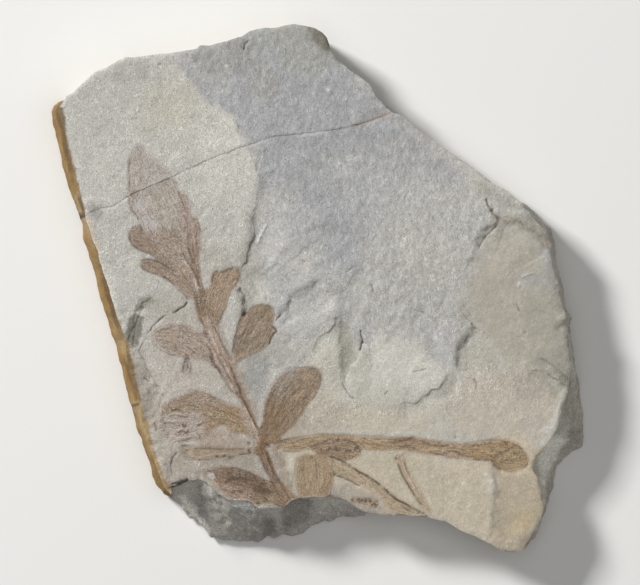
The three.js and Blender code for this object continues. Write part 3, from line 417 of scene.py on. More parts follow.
# Areas of the face, each painted over those before it: tone, width of its soft edge, how far the edge
# wanders, how fully it covers, and its outline.
AREAS = [
    [LIGHT_GREY, 12, 6, 0.9, [[-50, 46], [-7.5, 37], [-3.5, 11], [9.5, 3.5], [8.5, -17.5], [13.5, -24],
         [43, -17.5], [57.5, -26], [64, -14], [63, -0.5], [68, 16], [75.5, 28], [70, 40.5],
         [51.5, 62.5], [30.5, 77], [-7.5, 58]]],
    [GREY, 14, 7, 1, [[-60, 40], [-20, 44], [-2, 28], [0, 14], [10, 4], [18, 10], [22, 26], [30, 40],
         [52, 50], [45, 62.5], [32.5, 77], [5, 105], [-20, 120], [-70, 110]]],
    [SILVER, 12, 8, 0.7, [[2, 54], [30, 58], [50, 46], [40, 34], [14, 36]]],
    [CORNER_GREY, 12, 5, 0.9, [[-40, 96.5], [-28.5, 110.5], [-7.5, 115], [7, 110.5], [9.5, 95],
         [-7.5, 91.5], [-23.5, 94]]],
    [PALE, 4, 2.5, 1, [[-60, 115], [-59, 96], [-52.5, 86], [-48, 79.5], [-44, 76.5], [-39.5, 74],
         [-35.5, 72], [-32.5, 65.5], [-29.5, 61], [-26.5, 53.5], [-24.5, 45], [-26, 38.5], [-27, 28],
         [-27, 22], [-29.5, 14.5], [-37, 7.5], [-60, 0], [-120, 0], [-120, 115]]],
    [WARM, 16, 5, 0.8, [[-74.5, 83.5], [-64, 88.5], [-53.5, 84], [-49.5, 75], [-56, 64.5],
         [-70.5, 66.5]]],
    [LIGHT_GREY, 9, 4, 0.6, [[-110.5, 75.5], [-98, 91], [-81, 96.5], [-82, 87.5], [-93.5, 82.5],
         [-102, 74]]],
    [LIGHT_GREY, 6, 5, 0.7, [[-67.1, 100.1], [-43.2, 105.1], [-34.8, 95.9], [-36, 80.8], [-40.2, 78.3],
         [-47.4, 84.1], [-55.3, 90]]],
    [GREY, 8, 5, 0.85, [[-36, 100.9], [-23.4, 103.5], [-10.8, 94.2], [-14.2, 71.5], [-32.7, 75.7],
         [-37.7, 89.2]]],
    [SHELL, 10, 5, 0.55, [[-52.8, 66.5], [-36.9, 72.4], [-28.5, 58.9], [-25.9, 43.8], [-33.5, 37.1],
         [-47.8, 39.6]]],
    [PALE, 10, 6, 0.6, [[33.7, 21.1], [52.2, 27.9], [60.6, 13.6], [52.2, -1.5], [36.2, 0.1]]],
    [SMEAR_AND_SHADE, 3, 2, 0.5, [[-97.3, 35], [-94.8, 36.7], [-90.6, 35.8], [-89.8, 32.1], [-92.3, 27.9],
         [-95.7, 30.4]]],
    [SILVER, 8, 4, 0.8, [[-23.5, 37], [-9.5, 35], [-5.5, 22.5], [-7.5, 14], [-22, 11], [-27.5, 16]]],
    [SILVER, 9, 4, 0.7, [[-18, 8], [-4, 4], [6, -5], [4, -17], [-4, -26], [-16, -22], [-20, -10]]],
    [BEIGE, 12, 5, 0.95, WORN_SCAR],
    [ROSE_GREY, 16, 5, 0.8, [[-70.5, -3], [-43, -5], [-35, -38.5], [-28.5, -63.5], [-26.5, -91],
         [-60, -83.5], [-66.5, -63.5], [-70.5, -42.5]]],
    [WARM, 16, 5, 0.7, [[0, -26], [11.5, -24], [13.5, -47], [51.5, -49], [57.5, -60.5], [5, -61],
         [-9.5, -57.5]]],
    [CREAM, 14, 5, 0.8, [[57.5, -40.5], [68, -37], [89, -35], [108, -40], [112, -63.5], [93.5, -71],
         [89, -63.5], [68, -62], [57.5, -60.5], [51.5, -52]]],
    [STRAW, 12, 5, 0.95, [[-14, -63], [72.5, -73], [97.5, -68.5], [99.5, -114], [68, -110], [47, -98],
         [-11.5, -95]]],
    [TAN, 5, 2.5, 0.85, [[73.5, -74], [96.5, -71.5], [97.5, -114], [74, -110]]],
    [YELLOW, 9, 4, 0.6, [[81.5, -100.5], [84, -94], [89, -92.5], [93.5, -95], [91.5, -100.5],
         [86, -103]]],
    [SHELL, 8, 4, 0.9, [[13.5, -21.5], [23, -17.5], [34.5, -20.5], [47, -24.5], [51.5, -35],
         [50.5, -42], [42, -46], [32.5, -47.5], [13.5, -47], [12.5, -38.5]]],
    [SILVER, 5, 3, 0.8, [[43, -15.5], [57.5, -17.5], [60.5, -26], [57.5, -31], [51.5, -30], [46.5, -24]]],
    [FLAKY, 8, 4, 0.7, [[-80, -30], [-73, -30], [-66, -46], [-66, -59.5], [-61, -76.5], [-66.5, -81.5],
         [-72.5, -59.5], [-78, -42.5]]],
    # painted shade on the left wall of the wedge beside the tongue
    [OLIVE_GREY_AND_SHADE, 4, 1.5, 0.35, [[8.5, -12.5], [11.4, -13.7], [16.1, -19.2], [16.9, -22.5], [14.4, -30.1],
         [11, -40.2], [8.9, -30.1], [8.1, -19.6]]],
    # painted shade on the slope below the upper lamina's edge
    [SMEAR_AND_SHADE, 4, 2, 0.5, [[-28.5, 31], [-26, 28], [-26.5, 20.5], [-29, 12], [-31.5, 10.5], [-29.5, 20.5]]],
    # painted shade where the top corner rounds away
    [DARK_OLIVE_SHADE, 4, 2, 0.8, [[-6, 111], [4, 109], [7, 100], [2, 99], [-3.5, 104.5]]],
    [SHADOW_GREEN, 1.6, 0.7, 0.45, [[-32, -0.5], [-30, -5.5], [-30.5, -9.5], [-32, -12], [-32.5, -7]]],
    [SHADOW_GREEN, 1.2, 1, 0.75, [[-81, -18.3], [-78.9, -11.6], [-76.3, -9.9], [-73.4, -12.5],
         [-73.8, -19.2], [-76.3, -25.1], [-80.1, -25.9]]],
    [SHADOW_GREEN, 1, 0.8, 0.6, [[-77.2, -8.7], [-74.7, -4.5], [-69.6, -3.2], [-67.5, -5.3],
         [-72.1, -7.4], [-75.1, -10.4]]],
    [SHADE, 6, 4, 0.4, [[-74.7, 0.1], [-64.2, 1.8], [-51.1, -0.7], [-49.5, -4.9], [-55.3, -7.4],
         [-66.3, -9.9], [-72.1, -7.4]]],
    [COOL_SHADE, 3, 2, 0.75, [[-31, -26.7], [-24.3, -25.9], [-20.1, -30.9], [-20.9, -38.5],
         [-23.4, -46.9], [-25.5, -51.9], [-28.5, -46.1], [-31.4, -36.8]]],
    [COOL_SHADE, 4, 2.5, 0.4, [[-19.2, -26.7], [-7.5, -26.7], [-2.4, -30.1], [-9.1, -35.1],
         [-17.5, -34.3]]],
    [SHADE, 4, 3, 0.45, [[-34.3, 8.5], [-23.4, 9.4], [-20.1, 5.2], [-26.8, -2.4], [-30.1, -6.6],
         [-33.5, -0.7]]],
    [ROSE_GREY, 6, 3, 0.5, [[-50.3, 22], [-38.5, 16.1], [-35.2, 8.5], [-43.6, -1.5], [-47.8, 1.8],
         [-50.3, 12.7]]],
    [SHADE, 5, 3, 0.35, [[-46.9, 15.3], [-34.3, 18.6], [-23.4, 20.3], [-22.6, 11.1], [-33.5, 2.7],
         [-40.2, -3.2], [-46.1, 1.8]]],
    [SHADE, 3, 2, 0.4, [[12.7, -26.7], [17.7, -24.2], [22.8, -26.7], [21.9, -40.2], [17.7, -48.6],
         [13.5, -43.5]]],
    [SHADE, 8, 4, 0.3, [[22.8, -38.5], [34.5, -40.2], [42.9, -48.6], [26.1, -51.9], [13.5, -47.7]]],
    [SHADE, 4, 2, 0.5, [[66.5, 43.8], [74, 42.1], [81.6, 37.9], [87.5, 33.7], [83.3, 31.6],
         [75.7, 34.6], [69.8, 37.9]]],
    [SHADE, 8, 4, 0.3, [[88.3, -3.2], [104.3, -7.4], [106.8, -35.1], [95.9, -37.7], [84.9, -26.7]]],
    [HALO, 3, 2, 0.4, [[33.7, -67.9], [51.3, -69.6], [74, -72.9], [74.9, -79.7], [51.3, -76.3],
         [34.5, -72.9]]],
    [HALO, 3, 2, 0.5, [[71.5, -59.5], [84.9, -59.5], [92.5, -66.2], [92.5, -76.3], [88.3, -79.7],
         [90, -70.4], [82.4, -63.7]]],
    [LEAF_GROUND, 6, 4, 0.55, [[-51.1, -59.5], [-34.3, -58.7], [-25.1, -63.7], [-23.4, -79.7],
         [-32.7, -78], [-49.5, -78]]],
    [LEAF_GROUND, 2.5, 1.5, 0.5, [[-48.6, -76.3], [-44.4, -84.7], [-38.5, -88.5], [-33.5, -89.3],
         [-36.9, -85.5], [-42.7, -81.3]]],
    [FLAKY, 5, 3, 0.6, [[-67.1, -62], [-57, -63.7], [-57, -82.2], [-63.7, -82.2]]],
    [FLAKY, 4, 3, 0.6, [[-80.5, -23.4], [-74.7, -21.7], [-71.3, -30.9], [-73.8, -38.5], [-78.9, -35.1]]],
    [SHADE, 5, 3, 0.35, [[-73.8, -4.9], [-51.1, -7.4], [-49.5, -14.1], [-64.6, -14.1], [-72.1, -12.5]]],
    [CHIP, 1, 1, 0.9, [[-35.2, -88.1], [-31, -88.9], [-25.1, -91], [-25.9, -92.7], [-31.8, -91.4],
         [-35.2, -90.2]]],
    [LEAF_GROUND, 2, 1.5, 0.6, [[-19.2, -65.4], [-15.9, -67.9], [-12.5, -75.5], [-10.4, -83.9],
         [-14.2, -85.5], [-17.5, -76.3]]],
    [FLAKY, 5, 3, 0.7, [[-67.1, -70.4], [-59.5, -68.7], [-55.3, -76.3], [-59.5, -81.3], [-64.6, -79.7]]],
    [FLAKY, 5, 3, 0.7, [[-51.1, -70.4], [-34.3, -68.7], [-23.4, -72.9], [-23.4, -78], [-37.7, -73.8],
         [-47.8, -76.3]]],
    [STRAW, 14, 6, 0.6, [[-7.5, -40.2], [9.3, -48.6], [42.9, -50.3], [51.3, -55.3], [47.1, -63.7],
         [-3.3, -60.3], [-11.7, -51.1]]],
    [BEIGE, 16, 6, 0.6, [[63.9, -17.5], [101.7, -13.3], [106.8, -35.1], [100.1, -40.2], [83.3, -36.8],
         [66.5, -32.6]]],
    # painted shade in the wedge's hollow
    [WEDGE_SHADE, 3, 1, 0.5, [[9.3, -14.1], [12.3, -15.8], [13.5, -20.9], [14, -25.9], [13.1, -30.9],
         [11.9, -36.8], [11, -41], [8.9, -32.6], [8.5, -22.5]]],
    # painted shade down the valley
    [VALLEY_SHADE, 2, 1, 0.6, [[65.6, -16.7], [62.7, -21.7], [60.6, -25.9], [59.7, -30.9], [58.1, -33.9],
         [57.2, -29.3], [58.1, -23.8], [61.4, -19.6]]],
    # painted shade under the tongue's lower edge
    [OLIVE_GREY_AND_SHADE, 4, 2, 0.5, [[55.1, -35.1], [58.1, -36.8], [57.6, -45.2], [48, -46.1], [49.7, -43.1],
         [53.4, -39.3]]],
    # painted highlight on the lip of the ledge right of the tongue
    [RIM_HIGHLIGHT, 1.2, 0.8, 0.8, [[58.1, -35.1], [59.3, -35.1], [60.2, -41], [60.2, -46.5], [58.1, -47.7],
         [57.6, -42.7]]],
    [SILVER, 4, 2, 0.6, [[47.1, -18.8], [53.9, -20.9], [56.8, -25.9], [56.4, -31.8], [49.7, -32.6],
         [46.3, -25.9]]],
    # painted shade in a small dark patch beside the pale knob
    [WEDGE_SHADE, 3, 1.5, 0.35, [[46.3, -20], [47.6, -24.2], [48.4, -28.4], [47.1, -30.1], [45, -25.9],
         [44.6, -21.7]]],
    [SILVER, 5, 2, 0.8, [[95.4, 20.3], [98.4, 15.3], [100.5, 6.9], [102.6, -2], [97.1, -1.5],
         [95.9, 6.9], [94.2, 15.3]]],
    [SILVER, 4, 2, 0.6, [[84.9, 5.2], [90.8, 6.9], [97.1, 5.2], [96.7, -0.7], [89.1, -1.5], [85.4, 0.1]]],
    [RUSTY_OLIVE, 2, 1.4, 0.6, [[77.8, 29.1], [82.4, 30.4], [86.6, 28.3], [91.7, 25.3], [95.9, 20.7],
         [97.5, 16.5], [95.4, 16.9], [91.7, 21.6], [86.6, 24.5], [81.6, 27.4], [78.6, 27]]],
    [SHADE, 3, 1, 0.4, [[75.7, 29.5], [76.1, 26.2], [72.3, 23.7], [69.8, 20.7], [67.3, 18.2],
         [68.6, 22.8], [71.5, 26.2]]],
    [OLIVE_GREY_AND_SHADE, 6, 2, 0.6, [[93.3, 27.9], [98, 24.9], [99.2, 19], [96.7, 19], [93.3, 23.2]]],
    # painted shade along the fold at the right side
    [DARK_OLIVE_SHADE, 2, 1, 0.6, [[98.8, -34.7], [102.2, -35.6], [105.9, -38.1], [108.9, -42.3],
         [109.7, -47.7], [106.4, -46.1], [104.7, -41.9], [101.3, -38.9]]],
    # painted highlight along the rim of the right bevel
    [RIM_HIGHLIGHT, 1.6, 1, 0.8, [[101.3, -44], [105.5, -45.6], [104.3, -48.2], [102.6, -51.9],
         [102.2, -55.7], [100.5, -59.9], [97.1, -64.5], [95.4, -67.1], [93.3, -65.4], [97.1, -61.2],
         [93.3, -59.9], [98, -57], [100.1, -51.9], [100.5, -47.7]]],
    # pale chips left of the lower right step, made lighter as painted highlight
    [RIM_HIGHLIGHT, 2.5, 1.5, 0.35, [[69.8, -76.3], [72.8, -75.9], [73.6, -81.3], [73.6, -87.6],
         [71.5, -88.9], [70.7, -82.2]]],
    [SHADE, 2, 1, 0.5, [[73.6, -77.1], [75.3, -80.5], [76.1, -86.4], [74.4, -90.6], [74.9, -100.2],
         [72.8, -100.2], [73.2, -90.6], [74, -85.5]]],
    [FLAKY, 4, 2, 0.7, [[84.1, -105.7], [89.1, -104], [90, -108.6], [85.8, -110.3]]],
    [ROSE_GREY, 3, 2, 0.6, [[89.1, -99.8], [93.8, -98.1], [92.5, -103.2], [90, -105.7], [88.3, -104.4]]],
    [HALO, 2, 1, 0.7, [[76.5, -62], [84.9, -63.3], [89.6, -66.6], [92.1, -71.3], [90.4, -76.3],
         [84.9, -78.8], [78.6, -78.4], [75.7, -76.3]]],
    [LIGHT_ROSE, 2, 1, 0.75, [[7.2, -72.1], [14.4, -75.5], [20.3, -79.2], [27, -84.3], [33.3, -89.7],
         [39.6, -93.5], [27.8, -95.6], [25.3, -90.2], [20.3, -85.5], [14.4, -80.5]]],
    [FLAKY, 2, 1.5, 0.8, [[2.6, -87.6], [6, -82.6], [11.9, -82.2], [18.6, -84.7], [25.3, -88.1],
         [29.1, -93.5], [20.3, -95.6], [13.5, -93.5], [8.5, -90.2]]],
    [RESIN, 1.5, 0.8, 0.35, [[14, 69], [21, 71], [27, 73.2], [32, 75], [31, 73], [26.5, 71.2],
         [15, 67.5]]],
    [LEAF_GROUND, 1, 0.6, 0.9, [[-33.5, -36], [-30.6, -43.5], [-28.5, -49.4], [-26.4, -54.5],
         [-24.7, -59.5], [-25.9, -61.2], [-28.5, -56.1], [-31, -49.4], [-33.5, -42.7]]],
    [FLAKY, 3, 3, 0.75, [[-79.7, -30.9], [-74.7, -30.9], [-69.6, -41], [-66.3, -51.1], [-67.1, -60.3],
         [-71.3, -55.3], [-76.3, -43.5]]],
    [OCHRE_STREAK, 1, 0.6, 0.85, [[-109.9, 77.4], [-107, 75.7], [-104.9, 62.3], [-102.8, 53.9],
         [-100.7, 45.5], [-98.6, 37.1], [-97.3, 31.2], [-99.9, 30.4], [-105.7, 49.7], [-109.1, 66.5]]],
    [PALE_ROSE, 1.5, 1, 0.8, [[-98.2, 29.5], [-94.8, 27.9], [-92.3, 20.3], [-91.9, 15.3], [-94.8, 15.3],
         [-97.3, 22]]],
    [OCHRE_STREAK, 1, 0.6, 0.8, [[-96.5, 24.5], [-94.8, 19.5], [-91.9, 11.1], [-88.9, -0.7],
         [-86, -9.9], [-88.1, -11.6], [-92.3, -0.7], [-96.5, 16.1]]],
    [OCHRE_LIGHT, 1.5, 1, 0.9, [[-86.4, -7.4], [-83.9, -12.5], [-79.7, -23.4], [-76.3, -37.7],
         [-74.2, -46.9], [-68.8, -67.9], [-65, -78], [-61.2, -83.9], [-62.9, -88.9], [-68.8, -84.7],
         [-74.7, -67.9], [-81.4, -42.7], [-86.4, -21.7]]],
    [OCHRE_STREAK, 0.8, 0.6, 0.6, [[-82.2, -18.3], [-79.7, -23.4], [-76.3, -37.7], [-74.2, -46.9],
         [-75.5, -47.7], [-78.4, -38.5], [-81.4, -25.9]]],
    [SHADE, 4, 2, 0.5, [[93.3, -25.9], [101.3, -25.9], [104.3, -35.1], [105.5, -45.2], [100.9, -46.1],
         [95.9, -43.5], [92.5, -35.1]]],
    [FLAKY, 4, 2, 0.5, [[81.6, -36], [93.3, -34.3], [96.3, -43.5], [91.7, -46.9], [82.4, -45.2]]],
    [GREY, 4, 2, 0.8, [[-49.5, 102.2], [-35.6, 103.9], [-34.3, 92.5], [-40.2, 88.8], [-48.6, 90.9]]],
    [LEAF_GROUND, 3, 2, 0.4, [[-16.3, -57], [-9.1, -54], [-4.1, -57.4], [-5.4, -62.9], [-13.3, -65.4]]],
    [GREY, 4, 2, 0.6, [[-2.8, 11.1], [5.6, 11.5], [8.9, 5.6], [6.4, -0.3], [-1.2, 0.6]]],
    [GREY, 4, 3, 0.55, [[8.1, -0.7], [14.4, 0.6], [17.7, -5.3], [15.6, -13.3], [9.3, -12.9]]],
    [SHADE, 3, 2, 0.55, [[81.2, 31.6], [88.3, 31.6], [94.6, 25.3], [96.3, 19], [90, 21.6], [82.8, 26.6]]],
    [FLAKY, 4, 2, 0.8, [[-66.3, -73.4], [-59.5, -68.7], [-52.8, -71.7], [-50.7, -77.6], [-57.4, -80.9],
         [-64.6, -80.1]]],
    [BEIGE, 5, 3, 0.6, [[61, -24.2], [72.3, -23], [75.3, -32.6], [69.8, -37.2], [61.8, -35.6]]],
    [SHADE, 4, 2, 0.4, [[-23.4, -19.2], [-13.8, -17.9], [-11.2, -25.9], [-17.1, -31.4], [-22.6, -28.8]]],
    [GREY, 5, 3, 0.6, [[45.5, 55.6], [52.2, 55.6], [60.2, 49.3], [61.8, 43.8], [52.6, 44.7],
         [47.1, 48.9]]],
    [GREY, 3, 2, 0.6, [[14, -15.8], [20.3, -14.6], [24, -20], [21.9, -25.5], [16.1, -24.6]]],
    [FLAKY, 6, 3, 0.4, [[-10, -48.6], [5.1, -46.9], [12.3, -51.1], [11, -59.5], [-7.5, -60.3]]],
    [LEAF_GROUND, 3, 2, 0.4, [[-23.4, -65.8], [-13.8, -65.8], [-11.2, -74.6], [-17.1, -76.7],
         [-22.6, -72.9]]],
    [LEAF_GROUND, 3, 2, 0.5, [[-40.2, -17.5], [-36, -26.7], [-31.4, -35.1], [-27.2, -45.2],
         [-23.4, -55.3], [-25.9, -57], [-30.1, -48.6], [-34.3, -40.2], [-38.5, -30.9], [-41.9, -23.4]]],
    [SHADE, 3, 2, 0.4, [[-34.3, -4.1], [-28.5, -2], [-26.8, -6.6], [-30.1, -12.5], [-32.7, -19.2],
         [-36, -17.5]]],
    [CORNER_GREY, 4, 3, 0.4, [[-86.4, 94.2], [-72.1, 96.7], [-69.6, 87.5], [-79.7, 84.1], [-86.4, 86.7]]],
    [LEAF_GROUND, 1.5, 1, 0.45, [[84.5, -106.1], [87.5, -103.6], [90, -101.5], [91.7, -102.8],
         [88.3, -107.8], [84.9, -109.9]]],
    [GREY, 4, 3, 0.5, [[-13.3, 31.6], [-2.4, 30.8], [-0.3, 21.1], [-7, 17.4], [-12.5, 20.7]]],
    [GREY, 5, 3, 0.35, [[-23.4, 11.1], [-11.7, 9], [-0.3, 3.5], [-2.4, -6.2], [-12.5, -5.3],
         [-22.6, 0.6]]],
    [SHADE, 4, 3, 0.3, [[87.5, 7.7], [100.1, 7.7], [104.3, -21.7], [93.3, -22.1], [88.3, -4.9]]],
    [COOL_SHADE, 4, 3, 0.7, [[-52.8, 102.6], [-32.7, 104.3], [-23.4, 95.9], [-15.9, 87.5],
         [-17.5, 79.5], [-25.9, 79.9], [-31, 90], [-51.1, 90.4]]],
    # painted shadow in the gaping end of the crack
    [NOTCH_SHADOW, 0.6, 0.4, 0.9, CORNER_CRACK],
]

# Areas of the sides, in the same rows.
SIDE_AREAS = [
    # painted light on a facet of the broken face near the bottom corner
    [BEVEL_HIGHLIGHT, 3, 1.5, 0.9, [[-59.5, -87.2], [-55.3, -86.4], [-51.1, -93.1], [-52, -96.5],
         [-56.2, -93.1]]],
    [PALE_BREAK, 5, 2, 0.15, [[-62.1, -83], [-51.1, -80.5], [-48.6, -87.2], [-34.3, -90.6],
         [-32.7, -98.1], [-37.7, -104.9], [-46.9, -97.3], [-51.1, -88.9]]],
    [DARK_BREAK, 3, 2, 0.3, [[-33.5, -93.1], [-20.9, -92.3], [-18.4, -99], [-23.4, -105.7],
         [-31.8, -104.9]]],
    [DARK_BREAK, 2, 1.5, 0.8, [[-22.6, -97.3], [-18, -98.1], [-17.5, -103.2], [-22.6, -104]]],
    [DARK_BREAK, 3, 2, 0.7, [[-16.7, -93.9], [-10.8, -88.1], [-3.3, -88.9], [-4.1, -97.3],
         [-13.3, -101.5]]],
    [PALE_BREAK, 4, 2, 0.5, [[0.1, -87.2], [14.4, -88.1], [16.1, -94.8], [1.8, -94.8]]],
    # painted light on the lower right bevel
    [BEVEL_HIGHLIGHT, 4, 2, 0.8, [[91.7, -67.9], [100.1, -62], [105.9, -63.7], [100.9, -69.6],
         [95.9, -77.1], [93.3, -76.3]]],
    [DARK_BREAK, 3, 2, 0.2, [[102.6, -46.9], [108.5, -46.1], [108.5, -55.3], [104.3, -58.7]]],
    [DARK_BREAK, 3, 2, 0.5, [[104.3, -60.3], [111, -57.8], [111, -65.4], [105.9, -65.4]]],
    [PALE_OCHRE, 2.5, 1.5, 0.8, [[-103.2, 39.6], [-98.2, 40.5], [-95.7, 33.7], [-92.3, 17.8],
         [-94.8, 16.1], [-98.2, 27.9], [-100.7, 31.2]]],
    [PALE_OCHRE, 2, 1.5, 0.7, [[-87.3, -13.3], [-82.2, -11.6], [-78.9, -26.7], [-81.4, -30.1]]],
    [PALE_OCHRE, 2, 1.5, 0.7, [[-78, -47.7], [-73.8, -46.9], [-67.1, -67.9], [-70.5, -70.4]]],
    [DARK_BREAK, 4, 2, 0.2, [[-50.3, -83], [-42.7, -83.9], [-36, -89.7], [-36, -101.5], [-43.6, -100.7],
         [-48.6, -92.3]]],
    [CHIP, 1.2, 1, 0.9, [[-36, -88.9], [-31, -90.2], [-25.1, -92.3], [-25.9, -93.9], [-31.8, -93.1],
         [-36, -91.4]]],
    # painted light on the lower right bevel
    [BEVEL_HIGHLIGHT, 3, 2, 0.7, [[92.5, -72.9], [96.7, -68.7], [98.4, -76.3], [96.7, -86.4], [93.3, -87.2]]],
    # painted shadow in the notch where the break meets the left side
    [NOTCH_SHADOW, 0.8, 0.4, 0.9, [[-102.4, 31.2], [-96.5, 32.1], [-96.5, 30.4], [-99.9, 29.1]]],
    [NOTCH_SHADOW, 0.6, 0.4, 0.8, [[-81.4, -49.4], [-73.8, -48.2], [-73.8, -49], [-81, -50.7]]],
    [LEAF_GROUND, 1.5, 1, 0.5, [[84.5, -106.1], [87.5, -103.6], [90, -101.5], [92.5, -102.8],
         [89.1, -109.1], [84.9, -110.7]]],
    [NOTCH_SHADOW, 0.6, 0.4, 0.9, CORNER_CRACK],
]

# Where the split surface is smoother than elsewhere: the worn scar on the right, the lower band and the
# tongue. Rows of [how much smoother, outline].
SMOOTH_AREAS = [
    [0.45, WORN_SCAR],
    [0.35, [[-14, -60], [50, -50], [108, -40], [112, -70], [100, -114], [47, -100], [-14, -97]]],
    [0.25, [[12, -24], [34, -18], [60, -26], [56, -40], [30, -50], [12, -46]]],
]

# Where the face is broken in long slanting facets.
FACETED_AREA = [
    [-34, 16], [-26, 26], [-8, 34], [5, 30], [20, 14], [34, -2], [46, -8], [50, -14], [44, -20],
    [30, -16], [20, -14], [8, -20], [6, -44], [-4, -40], [-14, -26], [-30, -12],
]

# Where the stone is broken in small flakes: the strip along the left side and down to the bottom corner.
FLAKY_AREA = [
    [-84, -8], [-78, -12], [-74, -20], [-72, -34], [-66, -42], [-64, -60], [-60, -74], [-50, -78],
    [-52, -86], [-68, -86], [-80, -56], [-84, -30],
]

# Where the fine vertical streaks and scales of the grey stone show.
STREAKY_AREA = [
    [-52, 101], [-44.5, 83.5], [-25, 44.5], [-3.5, 11], [9.5, 3.5], [13.5, -22], [57.5, -24], [68, 16],
    [75.5, 36], [31, 78], [5, 108], [-28, 112],
]

# ---------------------------------------------------------------- axes, tones and marks of the leaf films

# Each film's slot, main colour, number of fibres side by side, share of stone that shows through, and
# axis, which runs from where the piece grows to its tip.
FILMS = {
    "rachis": ["leaf_film", (132, 114, 96), 12, 0.25, [[-49.5, 0], [-48.5, -8], [-45, -16], [-42, -26],
         [-38, -36], [-33, -45], [-28, -55], [-24.5, -63], [-21.5, -71], [-17, -80], [-11.5, -90]]],
    "loose_leaflet": ["leaf_film", (146, 124, 100), 12, 0.25, [[-3.5, -67.5], [8, -67.8], [18.5, -68.5]]],
    "cross_stem_leaflet": ["leaf_film", (154, 131, 101), 14, 0.15, [[63, -68.5], [76, -69.5],
         [89, -71.5]]],
    "cross_stem_right": ["leaf_film", (162, 141, 115), 10, 0.25, [[-20, -66.2], [-8, -65.5], [0, -63.5],
         [12, -62.5], [25, -65.5], [45, -67], [67, -68.5]]],
    "cross_stem_left": ["faded_film", (158, 141, 121), 10, 0.4, [[-25, -68.5], [-42, -69], [-60, -69]]],
    "terminal_leaflet": ["faded_film", (158, 144, 131), 22, 0.4, [[-50, -1], [-56, 12], [-64, 27],
         [-72, 45]]],
    "terminal_leaflet_tip": ["faded_film", (168, 158, 147), 19, 0.5, [[-68, 42], [-72, 50], [-76.5, 61]]],
    "left_leaflet_1": ["leaf_film", (149, 133, 118), 14, 0.25, [[-52, 0], [-62, 10.5], [-70, 18],
         [-80, 23]]],
    "left_leaflet_2": ["leaf_film", (150, 133, 118), 12, 0.25, [[-51.5, -3.5], [-60, 4], [-68, 9],
         [-75, 10.3]]],
    "left_leaflet_3": ["leaf_film", (157, 142, 128), 14, 0.4, [[-43, -31], [-52, -25], [-60, -21.5],
         [-69.5, -20.5]]],
    "left_leaflet_4": ["leaf_film", (150, 131, 110), 22, 0.35, [[-27, -59], [-40, -53], [-52, -52.5],
         [-67.5, -57]]],
    "left_leaflet_5": ["dark_film", (138, 118, 99), 17, 0.15, [[-15, -91], [-26, -84.5], [-38, -80.5],
         [-49, -77.5]]],
    "right_leaflet_0": ["leaf_film", (140, 119, 100), 7, 0.25, [[-48.5, -1], [-51.5, 12], [-51.8, 22],
         [-52.5, 31]]],
    "right_leaflet_1": ["leaf_film", (150, 132, 112), 14, 0.25, [[-42.5, -14], [-40, -3], [-36.5, 4],
         [-33, 10]]],
    "right_leaflet_2": ["leaf_film", (147, 131, 114), 19, 0.1, [[-36.5, -32.5], [-30, -22], [-24, -13],
         [-20, -6]]],
    "right_leaflet_3": ["leaf_film", (141, 124, 104), 22, 0.08, [[-22, -66], [-17, -53], [-10, -43],
         [1, -33]]],
    "lower_stem": ["faded_film", (165, 149, 125), 7, 0.35, [[5, -73], [20, -80.5], [30, -89.5],
         [46, -95.5]]],
    "right_leaflet_4": ["faded_film", (155, 136, 112), 19, 0.25, [[-3, -69.5], [-1.5, -79], [-1, -89]]],
    "short_stem": ["faded_film", (173, 156, 133), 5, 0.3, [[34, -70], [36.5, -78.5], [42, -88],
         [48, -95]]],
    "leaf_scrap_left": ["dark_film", (160, 150, 143), 7, 0.3, [[-55.5, -26], [-55.5, -37]]],
    "leaf_scrap_edge": ["dark_film", (156, 138, 114), 7, 0.2, [[13.5, -88.5], [26, -91]]],
}

